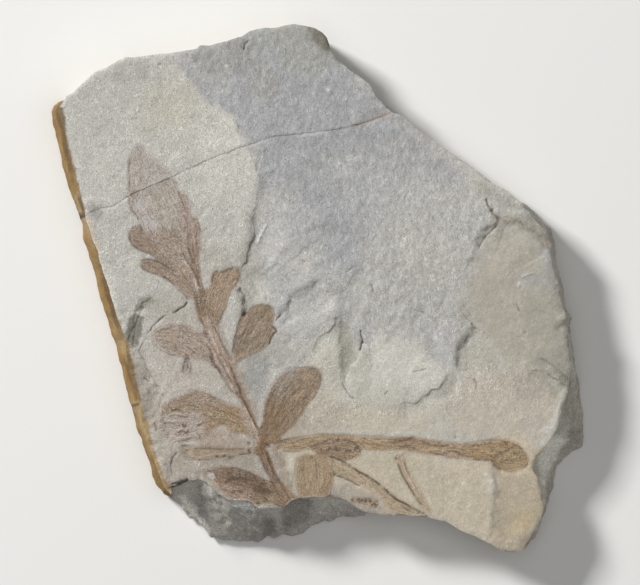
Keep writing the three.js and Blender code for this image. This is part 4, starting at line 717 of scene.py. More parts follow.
# Areas of the leaf films in other tones, in rows like those of the stone.
LEAF_AREAS = [
    [(170, 163, 155), 4, 1.5, 0.7, [[-74.5, 60], [-69.5, 59.5], [-63, 47.5], [-60.5, 41.5],
         [-70.5, 40.5], [-74.5, 52]]],
    [(168, 159, 149), 4, 2, 0.8, [[-77.5, 42], [-59.5, 41.5], [-58, 31], [-63, 24.5], [-74.5, 28],
         [-78.5, 35]]],
    [(186, 182, 178), 1.2, 1, 0.6, [[-77.5, 37], [-73, 37.5], [-71.5, 33], [-75, 31.5], [-77.5, 34]]],
    [(184, 178, 176), 1.2, 1, 0.6, [[-73.5, 30], [-69, 30.5], [-67, 26], [-69, 24], [-72, 24],
         [-74, 27]]],
    [(156, 137, 123), 4, 1.5, 0.75, [[-58, 39], [-53, 35], [-49.5, 30], [-47.5, 20.5], [-47, 3.5],
         [-51, 1], [-54.5, 16], [-57.5, 31]]],
    [(156, 138, 122), 4, 1.5, 0.75, [[-70.5, 23.5], [-55.5, 23], [-49.5, 7.5], [-50.5, -1.5],
         [-56, 2.5], [-66.5, 16]]],
    [(152, 132, 112), 2.5, 1, 0.8, [[-44, 7.5], [-31.5, 9.5], [-31, 5], [-34.5, 2], [-42.5, 3.5]]],
    [(158, 140, 119), 3.5, 1.5, 0.7, [[-42, 2], [-34.5, 2], [-37, -7.5], [-44.5, -11], [-47, -5]]],
    [(143, 127, 104), 3.5, 1.5, 0.7, [[-27.5, -6.5], [-17.5, -6.5], [-16.5, -12.5], [-23.5, -14],
         [-28.5, -11]]],
    [(138, 122, 107), 4, 1.5, 0.6, [[-36, -30], [-34.5, -16], [-30, -10.5], [-27.5, -13.5], [-30, -24],
         [-33.5, -33.5]]],
    [(146, 136, 124), 4, 2, 0.7, [[-19, -43.5], [-17.5, -37.5], [-11, -33.5], [-7.5, -35], [-11.5, -42],
         [-16.5, -47]]],
    [(128, 107, 83), 5, 2, 0.7, [[-25, -68], [-24.5, -57.5], [-21, -47.5], [-16, -49], [-11, -52],
         [-15, -59.5], [-21, -66]]],
    [(150, 133, 114), 3, 1.5, 0.7, [[-9, -33.5], [-1.5, -31.5], [2, -34.5], [2, -42.5], [-2.5, -47.5],
         [-4, -40]]],
    [(154, 131, 101), 5, 2.5, 0.8, [[-47, -46], [-38.5, -48.5], [-29.5, -52], [-29.5, -62],
         [-38.5, -62], [-46, -55.5]]],
    [(174, 164, 155), 5, 2.5, 0.7, [[-67, -53.5], [-59.5, -50.5], [-49.5, -52], [-45.5, -59.5],
         [-51, -65.5], [-62, -64.5], [-67, -60.5]]],
    [(152, 134, 117), 4, 1.5, 0.7, [[-65.5, -47.5], [-56, -42], [-43.5, -42.5], [-33.5, -47.5],
         [-42.5, -50], [-58, -49]]],
    [(138, 121, 107), 4, 2, 0.75, [[-53, -76.5], [-43.5, -74.5], [-40, -78], [-44.5, -82], [-49.5, -83]]],
    [(174, 166, 156), 2.5, 1.5, 0.5, [[-51.1, -73.8], [-44.4, -74.6], [-42.7, -78], [-44.8, -80.9],
         [-43.6, -84.7], [-47.4, -85.5], [-51.1, -80.5]]],
    [(186, 180, 172), 1.2, 0.7, 0.7, [[-46.5, -77.6], [-44, -77.1], [-43.2, -79.7], [-45.7, -80.5]]],
    [(192, 186, 178), 1.2, 0.7, 0.7, [[-44.8, -82.6], [-42.3, -81.8], [-41.5, -84.3], [-44, -85.1]]],
    [(112, 94, 80), 3, 1.5, 0.7, [[-40, -78], [-28.5, -77], [-21, -81.5], [-23.5, -84.5], [-34.5, -83]]],
    [(170, 154, 141), 2, 1, 0.8, [[-48.6, -15.8], [-44.4, -18.3], [-40.2, -28.4], [-36.9, -35.1],
         [-34.3, -41.9], [-36, -42.7], [-40.2, -36], [-44.4, -28.4]]],
    [(176, 159, 144), 2.5, 1, 0.85, [[-47.8, -12.5], [-43.6, -12.5], [-36.9, -25.1], [-33.5, -32.6],
         [-36.9, -33.5], [-43.6, -21.7]]],
    [(156, 138, 123), 2.5, 1, 0.7, [[-37.7, -32.6], [-32.7, -32.6], [-27.6, -45.2], [-22.6, -55.3],
         [-25.9, -57], [-32.7, -43.5]]],
    [(172, 156, 142), 1.6, 1, 0.75, [[-32.7, -48.6], [-29.7, -50.3], [-26.4, -57], [-24.3, -62.9],
         [-25.9, -66.2], [-28.5, -62.9], [-31, -57], [-32.7, -51.9]]],
    [(164, 144, 129), 3, 1.5, 0.75, [[-44.4, -82.2], [-35.2, -83.4], [-27.6, -86], [-29.3, -90.2],
         [-36.9, -88.9], [-42.7, -85.5]]],
    [(148, 135, 110), 2.5, 1, 0.8, [[-25.9, -87.6], [-17.5, -88.9], [-15, -92.3], [-23.4, -91.8]]],
    [(98, 80, 66), 1.2, 1, 0.7, [[-27.6, -83], [-22.6, -83], [-19.2, -85.5], [-22.6, -87.2],
         [-27.6, -85.5]]],
    [(148, 124, 98), 3, 1.5, 0.8, [[-17.5, -79.5], [-12.5, -80.5], [-7.5, -89], [-9, -92.5],
         [-14, -90.5]]],
    [(126, 99, 72), 2.5, 1, 0.75, [[-23.5, -62], [-18.5, -68.5], [-17.5, -76.5], [-21, -73], [-25, -66]]],
    [(151, 130, 106), 3, 1.5, 0.7, [[-18.5, -63.5], [-7.5, -62], [-0.5, -63.5], [-3.5, -68],
         [-16, -68.5]]],
    [(144, 121, 98), 2.5, 1.2, 0.75, [[29.5, -61], [44.5, -61], [47, -64.5], [40.5, -66.5],
         [30.5, -65.5]]],
    [(164, 143, 117), 2.5, 1.2, 0.8, [[61.5, -62], [74, -61], [76.5, -64.5], [70, -68], [61.5, -67]]],
    [(156, 138, 111), 2.5, 1.2, 0.7, [[75, -67], [86.5, -66], [88.5, -72], [82.5, -77], [76.5, -76.5]]],
    [(145, 128, 110), 2.5, 1.5, 0.6, [[0, -66], [9.5, -63], [16, -64.5], [14.5, -69.5], [5, -70.5]]],
    [(168, 146, 120), 4, 2, 0.6, [[-9, -72], [5, -70.5], [7, -80.5], [1, -87], [-7.5, -84.5]]],
    [(170, 155, 141), 3, 2, 0.5, [[-58.7, 31.2], [-51.1, 31.2], [-46.9, 23.7], [-48.6, 18.6],
         [-53.7, 20.3], [-57.9, 25.3]]],
]

# Dark veins, broken margins and blotches of the films: rows of [half width, strength, line].
DARK_MARKS = [
    [0.35, 1, [[-79.3, 38.8], [-75.5, 40.9], [-71.3, 42.6], [-66.3, 44.7], [-61.2, 46.8]]],
    [0.4, 0.75, [[-79.3, 54.7], [-79.3, 48.9], [-79.3, 43], [-78.9, 39.6]]],
    [0.4, 0.7, [[-79.3, 38.4], [-79.3, 35.4], [-78, 32.9], [-76.3, 30.8], [-75.1, 28.3]]],
    [0.35, 0.7, [[-78.4, 24.9], [-76.8, 26.2], [-74.7, 26.6], [-73.4, 23.7]]],
    [0.4, 0.8, [[-79.3, 24.5], [-79.3, 21.1], [-78, 18.2], [-75.5, 16.5], [-72.6, 15.3], [-69.6, 14],
         [-67.1, 12.3]]],
    [0.35, 0.5, [[-77.6, 22.4], [-76.8, 19.9], [-74.7, 18.2], [-71.7, 17.8]]],
    [0.35, 0.4, [[-72.1, 21.1], [-68.8, 19.5], [-65, 18.6]]],
    [0.4, 0.75, [[-74.7, 11.1], [-73.4, 12.3], [-70, 12.3], [-67.1, 11.1], [-63.3, 9], [-59.1, 6.4]]],
    [0.35, 0.6, [[-74.7, 10.2], [-73.4, 8.1], [-70, 6.4], [-66.7, 5.6]]],
    [0.4, 0.85, [[-66.3, 5.2], [-62.9, 3.9], [-60, 1], [-57, -2], [-54.1, -4.9]]],
    [0.35, 0.4, [[-67.1, 9.4], [-62.1, 6.9], [-57, 3.1], [-52.8, -1.5]]],
    [0.5, 0.7, [[-57.4, 16.5], [-56.2, 13.6], [-54.1, 10.2], [-52, 7.3], [-50.3, 3.5], [-49.5, 0.1]]],
    [0.4, 0.65, [[-56.6, 32.1], [-54.9, 27.9], [-54.5, 22.8], [-54.5, 17.8], [-53.2, 13.6],
         [-52.4, 9.4]]],
    [0.35, 0.6, [[-52.4, 20.3], [-52.4, 15.3], [-51.6, 10.2], [-50.3, 6], [-49, 1.8]]],
    [0.35, 0.5, [[-52.8, 28.7], [-50.7, 29.5], [-49.9, 27.4], [-49.5, 23.7]]],
    [0.35, 0.5, [[-51.6, 27.4], [-50.7, 24.5], [-51.1, 21.1], [-50.7, 16.9]]],
    [0.35, 0.5, [[-59.1, 41.3], [-57.4, 37.5], [-56.2, 34.6], [-55.3, 31.6]]],
    [0.35, 0.35, [[-61.2, 27.9], [-60.8, 24.5], [-58.7, 21.1], [-56.6, 19]]],
    [0.35, 0.4, [[-69.6, 21.1], [-66.3, 20.3], [-63.3, 21.1]]],
    [0.35, 0.4, [[-60, 11.1], [-57, 6.9], [-53.7, 1.8], [-51.1, -3.2]]],
    [0.45, 0.8, [[-44.8, 2.2], [-44, 5.2], [-43.2, 7.3], [-41.5, 6.9]]],
    [0.5, 0.75, [[-41.5, 6.9], [-39, 7.3], [-37.3, 8.5], [-34.8, 9], [-32.7, 8.5]]],
    [0.35, 0.4, [[-32.2, 6.9], [-33.1, 4.8], [-34.3, 3.9], [-32.7, 3.1]]],
    [0.4, 0.6, [[-37.7, -5.7], [-39.4, -9.1], [-40.6, -12.5], [-40.6, -15.8]]],
    [0.35, 0.4, [[-43.6, -1.5], [-44.8, -5.7], [-45.7, -9.9]]],
    [0.5, 0.85, [[-29.3, -8.7], [-31.4, -11.2], [-33.1, -13.7], [-33.9, -16.7], [-34.8, -20.9],
         [-35.6, -25.1], [-36.4, -28]]],
    [0.4, 0.6, [[-28.9, -8.7], [-25.9, -7], [-22.6, -6.6], [-19.6, -7.8], [-18, -9.1]]],
    [0.4, 0.7, [[-19.2, -15.8], [-17.1, -17.9], [-19.2, -20.4], [-20.5, -23.8]]],
    [0.35, 0.45, [[-33.5, -25.1], [-31.4, -19.2], [-28.9, -14.1], [-25.9, -9.9]]],
    [0.35, 0.4, [[-31.8, -24.6], [-28.9, -19.2], [-25.9, -15], [-22.6, -10.8]]],
    [0.35, 0.4, [[-32.7, -27.6], [-28.5, -23], [-24.3, -18.8], [-20.5, -15.4]]],
    [0.35, 0.6, [[-14.6, -34.3], [-11.7, -33.5], [-7.9, -33], [-4.1, -33], [-0.7, -33.9]]],
    [0.35, 0.5, [[0.9, -35.6], [1.4, -39.3], [0.1, -43.1], [-2.8, -47.7]]],
    [0.35, 0.45, [[-22.2, -58.7], [-21.7, -51.9], [-20.1, -46.5], [-17.1, -41]]],
    [0.35, 0.4, [[-20.1, -58.7], [-16.3, -51.1], [-11.7, -45.2], [-6.2, -40.2]]],
    [0.35, 0.4, [[-18.4, -60.3], [-12.5, -52.8], [-7.5, -47.7], [-2.4, -43.5]]],
    [0.35, 0.35, [[-20.9, -55.3], [-18.4, -48.6], [-14.6, -43.1], [-10, -38.5]]],
    [0.6, 0.5, [[-45.3, -12.5], [-43.6, -16.2], [-41.5, -20], [-39.8, -23.8], [-37.7, -28],
         [-36.9, -30.9]]],
    [0.45, 0.9, [[-37.3, -30.5], [-36, -34.3], [-34.8, -37.7], [-33.1, -41.4], [-32.2, -44.8],
         [-30.1, -49], [-28.5, -52.8], [-26.4, -57], [-24.7, -59.9]]],
    [0.35, 0.3, [[-49.9, -9.5], [-48.6, -14.1], [-46.9, -19.2], [-44.4, -24.2], [-42.3, -28.4]]],
    [0.45, 0.75, [[-46.1, -26.7], [-44, -30.9], [-41.5, -34.3], [-39.8, -38.1], [-37.3, -41.9],
         [-35.2, -44.8]]],
    [0.35, 0.5, [[-42.7, -26.7], [-40.2, -31.8], [-37.7, -36.8], [-35.2, -41]]],
    [0.35, 0.45, [[-52.4, -1.1], [-50.7, -6.2], [-49.9, -10.4]]],
    [0.35, 0.45, [[-40.6, -16.2], [-39.4, -20], [-37.3, -24.6], [-36.4, -28.4]]],
    [0.45, 0.8, [[-21.7, -67.9], [-20.9, -71.7], [-19.2, -75.5], [-18, -79.7]]],
    [0.45, 0.6, [[-17.5, -78.8], [-15.4, -82.6], [-13.3, -86.4], [-11.2, -88.9]]],
    [0.4, 0.5, [[-23.8, -70], [-22.6, -74.6], [-20.9, -78.8], [-18.4, -83], [-16.3, -87.6]]],
    [0.35, 0.65, [[-69.6, -19.2], [-69.2, -22.5], [-67.1, -25.1], [-64.6, -26.7], [-61.6, -28],
         [-59.1, -28]]],
    [0.35, 0.3, [[-66.3, -17.5], [-61.2, -15.8], [-55.3, -15.4], [-51.1, -17.1]]],
    [0.35, 0.35, [[-51.1, -19.2], [-47.8, -23], [-44.4, -27.2]]],
    [0.35, 0.8, [[-55.3, -27.2], [-55.8, -30.5], [-56.6, -33.5], [-57, -35.6]]],
    [0.35, 0.7, [[-54.5, -27.6], [-54.5, -31.4], [-54.9, -35.1]]],
    [0.35, 0.6, [[-53.2, -31.8], [-53.7, -33.9], [-53.2, -36]]],
    [0.35, 0.45, [[-63.7, -46.1], [-58.7, -43.5], [-53.7, -42.3], [-48.6, -43.1], [-43.6, -45.6],
         [-38.5, -47.7], [-33.1, -49.4]]],
    [0.4, 0.75, [[-62.5, -50.3], [-60.8, -51.1], [-58.7, -50.7], [-57.4, -51.9]]],
    [0.4, 0.7, [[-62.9, -54], [-60, -53.2], [-56.6, -54], [-53.7, -53.6]]],
    [0.45, 0.85, [[-58.7, -58.2], [-57, -56.6], [-56.2, -58.7], [-54.9, -57.4]]],
    [0.45, 0.8, [[-59.1, -60.8], [-57, -59.9], [-55.3, -60.8], [-53.7, -59.5]]],
    [0.35, 0.6, [[-65, -57], [-62.1, -56.1], [-59.5, -57.4]]],
    [0.35, 0.6, [[-55.3, -49.4], [-52.4, -49], [-49.5, -50.3]]],
    [0.4, 0.7, [[-51.1, -57.8], [-49, -57], [-46.5, -55.3]]],
    [0.35, 0.6, [[-58.7, -64.1], [-55.3, -63.7], [-52.4, -62.4]]],
    [0.35, 0.5, [[-50.7, -60.3], [-49.5, -62.4], [-50.7, -64.1]]],
    [0.35, 0.4, [[-47.4, -48.2], [-41.9, -51.1], [-36, -52.8], [-31, -55.3]]],
    [0.35, 0.4, [[-49.5, -51.9], [-43.6, -54.9], [-37.7, -55.7], [-32.7, -57]]],
    [0.7, 0.8, [[-39.4, -81.8], [-36, -80.1], [-32.2, -79.7], [-28.9, -80.5]]],
    [0.6, 0.7, [[-36.4, -86], [-33.5, -85.1], [-31, -85.5]]],
    [0.6, 0.6, [[-25.1, -85.1], [-21.3, -84.3], [-17.5, -86]]],
    [0.5, 0.6, [[-40.2, -76.3], [-34.8, -75.5], [-29.3, -77.1], [-25.1, -79.7]]],
    [0.45, 0.6, [[-23.4, -88.9], [-19.2, -89.7], [-15.4, -91.8]]],
    [0.4, 0.5, [[-46.9, -76.3], [-43.6, -77.6], [-41.5, -80.5], [-40.6, -84.7]]],
    [0.35, 0.7, [[-57.9, -66.2], [-55.3, -66.2], [-53.2, -65.8]]],
    [0.35, 0.6, [[-53.7, -67.5], [-46.1, -67.1], [-38.5, -67.5], [-29.3, -67.1]]],
    [0.5, 0.95, [[-43.2, -70.8], [-41.5, -70.4]]],
    [0.5, 0.95, [[-40.2, -70.8], [-38.5, -70]]],
    [0.5, 0.9, [[-37.7, -71.3], [-36, -71.7], [-34.8, -70.4]]],
    [0.35, 0.5, [[-52.8, -71.7], [-47.8, -72.1], [-43.6, -72.1], [-34.3, -71.7]]],
    [0.4, 0.8, [[-33.5, -70], [-31, -69.6], [-28.5, -69.2]]],
    [0.6, 0.8, [[-29.7, -67.9], [-28, -69.2]]],
    [0.4, 0.8, [[-19.2, -65.4], [-15.4, -64.1], [-11.2, -62.9], [-5.8, -62]]],
    [0.35, 0.5, [[-14.2, -68.3], [-10.8, -68.7], [-7.5, -68.3]]],
    [0.35, 0.45, [[-5.8, -62], [0.1, -61.2], [6.8, -61.2], [17.7, -61.6], [27, -62], [32.4, -62.4]]],
    [0.6, 0.6, [[30.8, -65], [34.5, -64.1], [37.9, -63.3], [41.3, -62]]],
    [0.55, 0.6, [[33.7, -66.6], [37.9, -66.2], [41.3, -67.1]]],
    [0.4, 0.6, [[43.4, -64.1], [47.1, -65.8], [51.3, -66.2], [55.5, -66.2]]],
    [0.4, 0.6, [[46.3, -68.7], [52.2, -70], [56.4, -71.3], [60.6, -71.3]]],
    [0.35, 0.45, [[17.7, -65.4], [22.8, -65.4], [28.7, -66.2]]],
    [0.4, 0.6, [[54.3, -68.7], [57.6, -68.3], [60.6, -69.6]]],
    [0.4, 0.75, [[-3.7, -66.6], [0.1, -65.4], [4.3, -64.1]]],
    [0.55, 0.9, [[7.7, -64.1], [9.3, -62.9]]],
    [0.35, 0.5, [[9.8, -63.3], [13.5, -64.1], [16.5, -66.2], [18.2, -68.7], [18.2, -71.3]]],
    [0.5, 0.75, [[0.9, -67.5], [3.5, -68.7], [5.6, -66.6]]],
    [0.5, 0.75, [[7.2, -66.2], [8.1, -68.3], [9.8, -67.5]]],
    [0.45, 0.7, [[11.4, -68.7], [14, -67.9]]],
    [0.45, 0.7, [[15.2, -67.9], [16.9, -66.2]]],
    [0.45, 0.6, [[64.8, -66.6], [66.5, -65.4], [68.1, -66.6]]],
    [0.4, 0.6, [[62.3, -71.7], [67.3, -72.1], [72.3, -72.1]]],
    [0.75, 0.95, [[72.8, -72.1], [74, -74.6], [75.7, -75.9], [77.4, -76.7]]],
    [0.35, 0.6, [[77.8, -76.7], [81.2, -77.1], [84.9, -76.3], [87.5, -75], [88.7, -72.1]]],
    [0.35, 0.55, [[60.6, -65.4], [64.8, -64.5], [69.8, -63.7], [74.9, -63.3]]],
    [0.45, 0.7, [[78.2, -64.5], [79.9, -65.8]]],
    [0.45, 0.7, [[82, -68.7], [84.1, -70.4]]],
    [0.45, 0.6, [[84.1, -66.2], [86.2, -67.9]]],
    [0.45, 0.6, [[76.5, -68.3], [77.8, -70.4]]],
    [0.45, 0.6, [[74.4, -70], [76.1, -71.3]]],
    [0.4, 0.95, [[4.7, -70.4], [8.5, -71.7], [11.9, -73.4], [14.4, -75]]],
    [0.45, 1, [[14.4, -75], [17.3, -77.1], [20.7, -78.8], [24, -80.9], [27, -83]]],
    [0.5, 1, [[27, -83], [29.9, -86], [33.3, -88.9], [37.1, -90.6], [40.8, -92.7], [45.9, -95.2]]],
    [0.4, 0.75, [[5.6, -78], [9.3, -78.8], [13.5, -80.5], [17.3, -83]]],
    [0.35, 0.7, [[4.7, -77.1], [6, -79.2]]],
    [0.35, 0.6, [[34.5, -91], [39.2, -93.9]]],
    [0.4, 0.85, [[33.3, -72.5], [34.5, -76.3], [36.2, -79.7], [38.3, -83], [40.4, -86.4], [42.5, -89.7],
         [44.2, -92.3]]],
    [0.35, 0.6, [[36.2, -72.1], [37.1, -75.5], [38.7, -78.8]]],
    [0.6, 0.8, [[32, -70.8], [33.3, -71.7]]],
    [0.4, 0.5, [[35, -70.4], [37.1, -68.7]]],
    [0.4, 0.6, [[-8.3, -70], [-9.6, -74.2], [-10.4, -78.8], [-11.2, -83.9]]],
    [0.45, 0.6, [[-3.3, -70.4], [-1.6, -71.3]]],
    [0.4, 0.5, [[-1.2, -70.8], [-0.3, -75.5], [-0.7, -80.5]]],
    [0.35, 0.4, [[-5.8, -71.3], [-6.2, -77.1], [-4.9, -83.9]]],
    [0.35, 0.4, [[2.6, -74.6], [3, -79.7], [1.8, -84.7]]],
    [0.55, 0.9, [[14.2, -88.5], [14.7, -89.7]]],
    [0.55, 0.9, [[16.5, -88.3], [17.7, -89]]],
    [0.55, 0.9, [[18.2, -89.5], [19, -88.5]]],
    [0.55, 0.9, [[19.8, -88.1], [20.5, -89.7]]],
    [0.55, 0.9, [[21.5, -88.9], [22.6, -89.7]]],
    [0.55, 0.9, [[23.6, -89.7], [24.3, -91.4]]],
    [0.55, 0.9, [[24.5, -88.9], [25, -89.7]]],
    [0.55, 0.9, [[22.4, -90.4], [23.1, -91.2]]],
    [0.5, 0.8, [[16.9, -89.7], [18.2, -90.1]]],
    [0.5, 0.8, [[19.6, -89.6], [20.6, -88.9]]],
    [0.5, 0.7, [[21.1, -88], [22.4, -88.5]]],
    [0.5, 0.8, [[24.9, -90.6], [25.3, -91.6]]],
    [0.4, 0.6, [[21.7, -92.2], [22.4, -91.4]]],
    [0.4, 0.6, [[23.6, -92.7], [24, -91.9]]],
    [0.4, 0.5, [[25.7, -91.8], [25.9, -92.7]]],
]

# Pale fibres of the films, in the same rows.
LIGHT_MARKS = [
    [0.35, 0.6, [[-60, 18.2], [-57, 14.4], [-54.5, 10.2], [-52.4, 5.6]]],
    [0.35, 0.5, [[-65, 15.3], [-61.2, 11.9], [-57, 7.7], [-53.7, 3.1]]],
    [0.4, 0.6, [[-56.6, 12.7], [-54.1, 8.5], [-51.6, 3.1], [-50.3, -2]]],
    [0.35, 0.5, [[-49, 16.1], [-48.6, 11.1], [-48.2, 5.2]]],
    [0.35, 0.6, [[-48.2, 3.5], [-46.9, -0.7], [-46.5, -5.7]]],
    [0.4, 0.6, [[-50.3, -9.9], [-46.9, -15.8], [-43.6, -22.5], [-40.6, -28.4], [-37.7, -34.3],
         [-35.6, -38.5]]],
    [0.4, 0.5, [[-48.2, -19.2], [-44.8, -25.5], [-41.5, -31.8], [-37.7, -38.9], [-34.3, -44.4]]],
    [0.35, 0.5, [[-35.2, -32.6], [-33.5, -37.7], [-31.4, -42.7], [-28.9, -47.7], [-25.9, -53.6]]],
    [0.4, 0.6, [[-33.5, -44.4], [-30.6, -50.3], [-27.6, -56.1], [-25.1, -62], [-23.4, -67.1]]],
    [0.35, 0.6, [[-22.6, -68.7], [-20.5, -74.6], [-17.5, -80.5], [-14.2, -86.4]]],
    [0.35, 0.5, [[-14.6, -79.7], [-12.5, -83.9], [-11.2, -88.1]]],
    [0.4, 0.6, [[-62.1, -51.9], [-59.5, -52.4], [-57, -52.8]]],
    [0.4, 0.6, [[-65, -55.3], [-62.1, -55.3], [-58.7, -55.3]]],
    [0.4, 0.6, [[-59.5, -59.5], [-57, -58.7], [-54.5, -58.7], [-52, -57]]],
    [0.4, 0.5, [[-62.9, -62], [-58.7, -62.4], [-54.5, -62]]],
    [0.35, 0.5, [[-53.7, -51.9], [-50.3, -52.8], [-46.9, -53.6]]],
    [0.35, 0.5, [[-54.5, -70.4], [-47.8, -70.8], [-42.7, -69.2], [-36, -69.2]]],
    [0.35, 0.6, [[54.7, -69.6], [56.8, -69.2], [58.9, -70.8]]],
    [0.45, 0.7, [[65.6, -69.2], [69, -68.3], [72.8, -68.7]]],
    [0.35, 0.5, [[42.9, -67.5], [48.8, -67.9], [53.9, -67.9]]],
    [0.35, 0.5, [[18.6, -64.1], [26.1, -64.1], [32.9, -63.7]]],
    [0.35, 0.5, [[-14.2, -66.2], [-9.1, -65.4], [-3.3, -66.2]]],
    [0.35, 0.6, [[-30.6, -11.6], [-31.8, -15.4], [-33.1, -20]]],
    [0.35, 0.5, [[-27.6, -12.5], [-29.7, -17.1], [-31.4, -22.1]]],
    [0.35, 0.5, [[-23.4, -12.5], [-25.9, -16.7], [-28.9, -21.3]]],
    [0.35, 0.4, [[-34.3, -32.6], [-32.7, -28], [-30.1, -24.2]]],
    [0.35, 0.4, [[-19.2, -57], [-17.5, -50.3], [-14.2, -44.4], [-10.8, -41]]],
    [0.35, 0.4, [[-16.7, -57], [-11.7, -49.4], [-6.6, -43.5], [-1.6, -39.3]]],
    [0.35, 0.5, [[-46.1, -76.7], [-43.6, -78.4], [-44.4, -80.9]]],
    [0.35, 0.4, [[-37.3, -83.9], [-34.3, -83.4], [-31, -83.9]]],
    [0.35, 0.5, [[-69.2, -19.6], [-68.4, -22.5], [-66.3, -24.6], [-63.7, -26.3]]],
    [0.35, 0.5, [[-78, 22], [-77.2, 20.3]]],
    [0.35, 0.45, [[35.4, -72.9], [36.6, -76.3], [38.7, -80.5], [41.3, -84.7]]],
    [0.35, 0.45, [[8.5, -72.9], [13.5, -76.3], [18.6, -80.5], [23.6, -84.7], [27.8, -89.7]]],
]

# ---------------------------------------------------------------- unevenness

LATTICE_FACTORS = (73856093, 19349663, 83492791, 26544357)  # for x, y, z and the seed
LATTICE_MIXER = 1274126177
TRIANGLE_SKEW = 0.366  # turns the lattice's squares into triangles


def lattice(ix, iy, iz, seed):
    """A repeatable value from -1 to 1 for each whole-number place."""
    across, up, out, chance = LATTICE_FACTORS
    mixed = (ix * across) ^ (iy * up) ^ (iz * out) ^ (seed * chance)
    mixed = (mixed ^ (mixed >> 13)) * LATTICE_MIXER
    mixed = mixed ^ (mixed >> 16)
    return (mixed & 0xFFFF) / 32767.5 - 1


def corners_and_shares(values):
    """The whole number under each value, and how far above it the value lies."""
    floor = np.floor(values)
    return floor.astype(np.int64), values - floor


def softened(share):
    """A share from 0 to 1 with its rise made gentle at both ends."""
    return share * share * (3 - 2 * share)


def noise(x, y, spacing, seed, z=0.0):
    """Smooth unevenness from about -1 to 1, with lumps about `spacing` apart.

    Each seed has its lattice turned and shifted in its own way."""
    turn = 0.7 + 1.3 * seed
    across = (x * math.cos(turn) + y * math.sin(turn)) / spacing + 17.3 * seed
    up = (y * math.cos(turn) - x * math.sin(turn)) / spacing - 9.1 * seed
    out = np.broadcast_to(np.asarray(z, float) / spacing, np.shape(across))
    (ix, fx), (iy, fy), (iz, fz) = (corners_and_shares(v) for v in (across, up, out))
    fx, fy, fz = (softened(f) for f in (fx, fy, fz))
    total = 0
    for dx, wx in ((0, 1 - fx), (1, fx)):
        for dy, wy in ((0, 1 - fy), (1, fy)):
            for dz, wz in ((0, 1 - fz), (1, fz)):
                total = total + wx * wy * wz * lattice(ix + dx, iy + dy, iz + dz, seed)
    return total


def layered(x, y, layers):
    """Noises added up, in rows of [strength, lump spacing, seed]."""
    return sum(strength * noise(x, y, spacing, seed) for strength, spacing, seed in layers)


def fractal(x, y, spacing, seed, octaves=3, z=0.0):
    """Unevenness of several sizes, each half as wide and half as strong as the one before."""
    total = 0
    for octave in range(octaves):
        total = total + noise(x, y, spacing / 2**octave, seed + octave, z) / 2**octave
    return total / (2 - 2 ** (1 - octaves))


def facets(across, up, spacing, seed):
    """Unevenness from -1 to 1 made of flat facets that meet at sharp edges."""
    skew = (across + up) * TRIANGLE_SKEW / spacing
    (ix, fx), (iy, fy) = (corners_and_shares(v / spacing + skew) for v in (across, up))
    nearer_x = fx > fy
    near = lattice(ix, iy, 0 * ix, seed)
    middle = lattice(ix + nearer_x, iy + ~nearer_x, 0 * ix, seed)
    far = lattice(ix + 1, iy + 1, 0 * ix, seed)
    large, small = np.maximum(fx, fy), np.minimum(fx, fy)
    return near * (1 - large) + middle * (large - small) + far * small


def smooth(start, end, values):
    """0 before start, 1 after end and a soft rise between."""
    return softened(np.clip((values - start) / (end - start), 0, 1))


def treads(values, height, flat_share=0.8):
    """Values turned into flat treads `height` apart with short slopes between them."""
    tread, share = corners_and_shares(values / height)
    return (tread + smooth(flat_share, 1, share)) * height


def bump(distance, half_width):
    """1 on a line or a point, fading to 0 about two half widths away."""
    return np.exp(-((distance / half_width) ** 2))


# ---------------------------------------------------------------- lines and outlines


def ring(outline):
    """An outline with its first point again at its end."""
    return np.vstack([outline, outline[:1]])


def lengths_of(vectors):
    """The length of each row."""
    return np.hypot(*vectors.T)


def directions(vectors):
    """The vectors at a length of 1."""
    return vectors / lengths_of(vectors)[:, None]


def turned_right(vectors):
    """The vectors turned a quarter to the right."""
    return np.column_stack([vectors[:, 1], -vectors[:, 0]])


def walked_along(line):
    """How far along a line each of its points lies."""
    return np.r_[0, np.cumsum(lengths_of(np.diff(line, axis=0)))]


def resampled(line, spacing, closed=False):
    """Points along a line at even distances of about `spacing`."""
    line = np.asarray(line, float)
    if closed:
        line = ring(line)
    walked = walked_along(line)
    count = max(2, int(round(walked[-1] / spacing)) + 1)
    at = np.linspace(0, walked[-1], count)
    points = np.column_stack([np.interp(at, walked, line[:, i]) for i in (0, 1)])
    return points[:-1] if closed else points


def wandered(points, amount, seed, spacing):
    """Points moved a little off their line, as a natural edge runs."""
    x, y = points.T
    aside = [fractal(x, y, spacing, seed + shift) for shift in (0, 5)]
    return points + amount * np.column_stack(aside)


def natural_lines(rows, spacing, wanders):
    """The line at the end of each row in points `spacing` apart, made to wander."""
    lines = []
    for number, row in enumerate(rows):
        line = resampled(row[-1], spacing)
        for amount, seed, lump in wanders:
            line = wandered(line, amount, seed + number, lump)
        lines.append(line)
    return lines


def nearest_on_line(points, line, reach):
    """Distance, hand (1 on the left) and share of the length at the nearest place of a line.

    Points farther off than `reach` get that distance and are not looked at closely."""
    distance = np.full(len(points), float(reach))
    hand = np.ones(len(points))
    share = np.zeros(len(points))
    low, high = line.min(0) - reach, line.max(0) + reach
    near = np.flatnonzero(((points > low) & (points < high)).all(1))
    lengths = lengths_of(np.diff(line, axis=0))
    walked = 0.0
    for start, end, length in zip(line[:-1], line[1:], lengths):
        along = (end - start) / length
        offset = points[near] - start
        at = np.clip(offset @ along, 0, length)
        apart = lengths_of(offset - at[:, None] * along)
        closer = apart < distance[near]
        chosen = near[closer]
        distance[chosen] = apart[closer]
        hand[chosen] = np.where(along[0] * offset[closer, 1] >= along[1] * offset[closer, 0], 1, -1)
        share[chosen] = (walked + at[closer]) / lengths.sum()
        walked += length
    return distance, hand, share


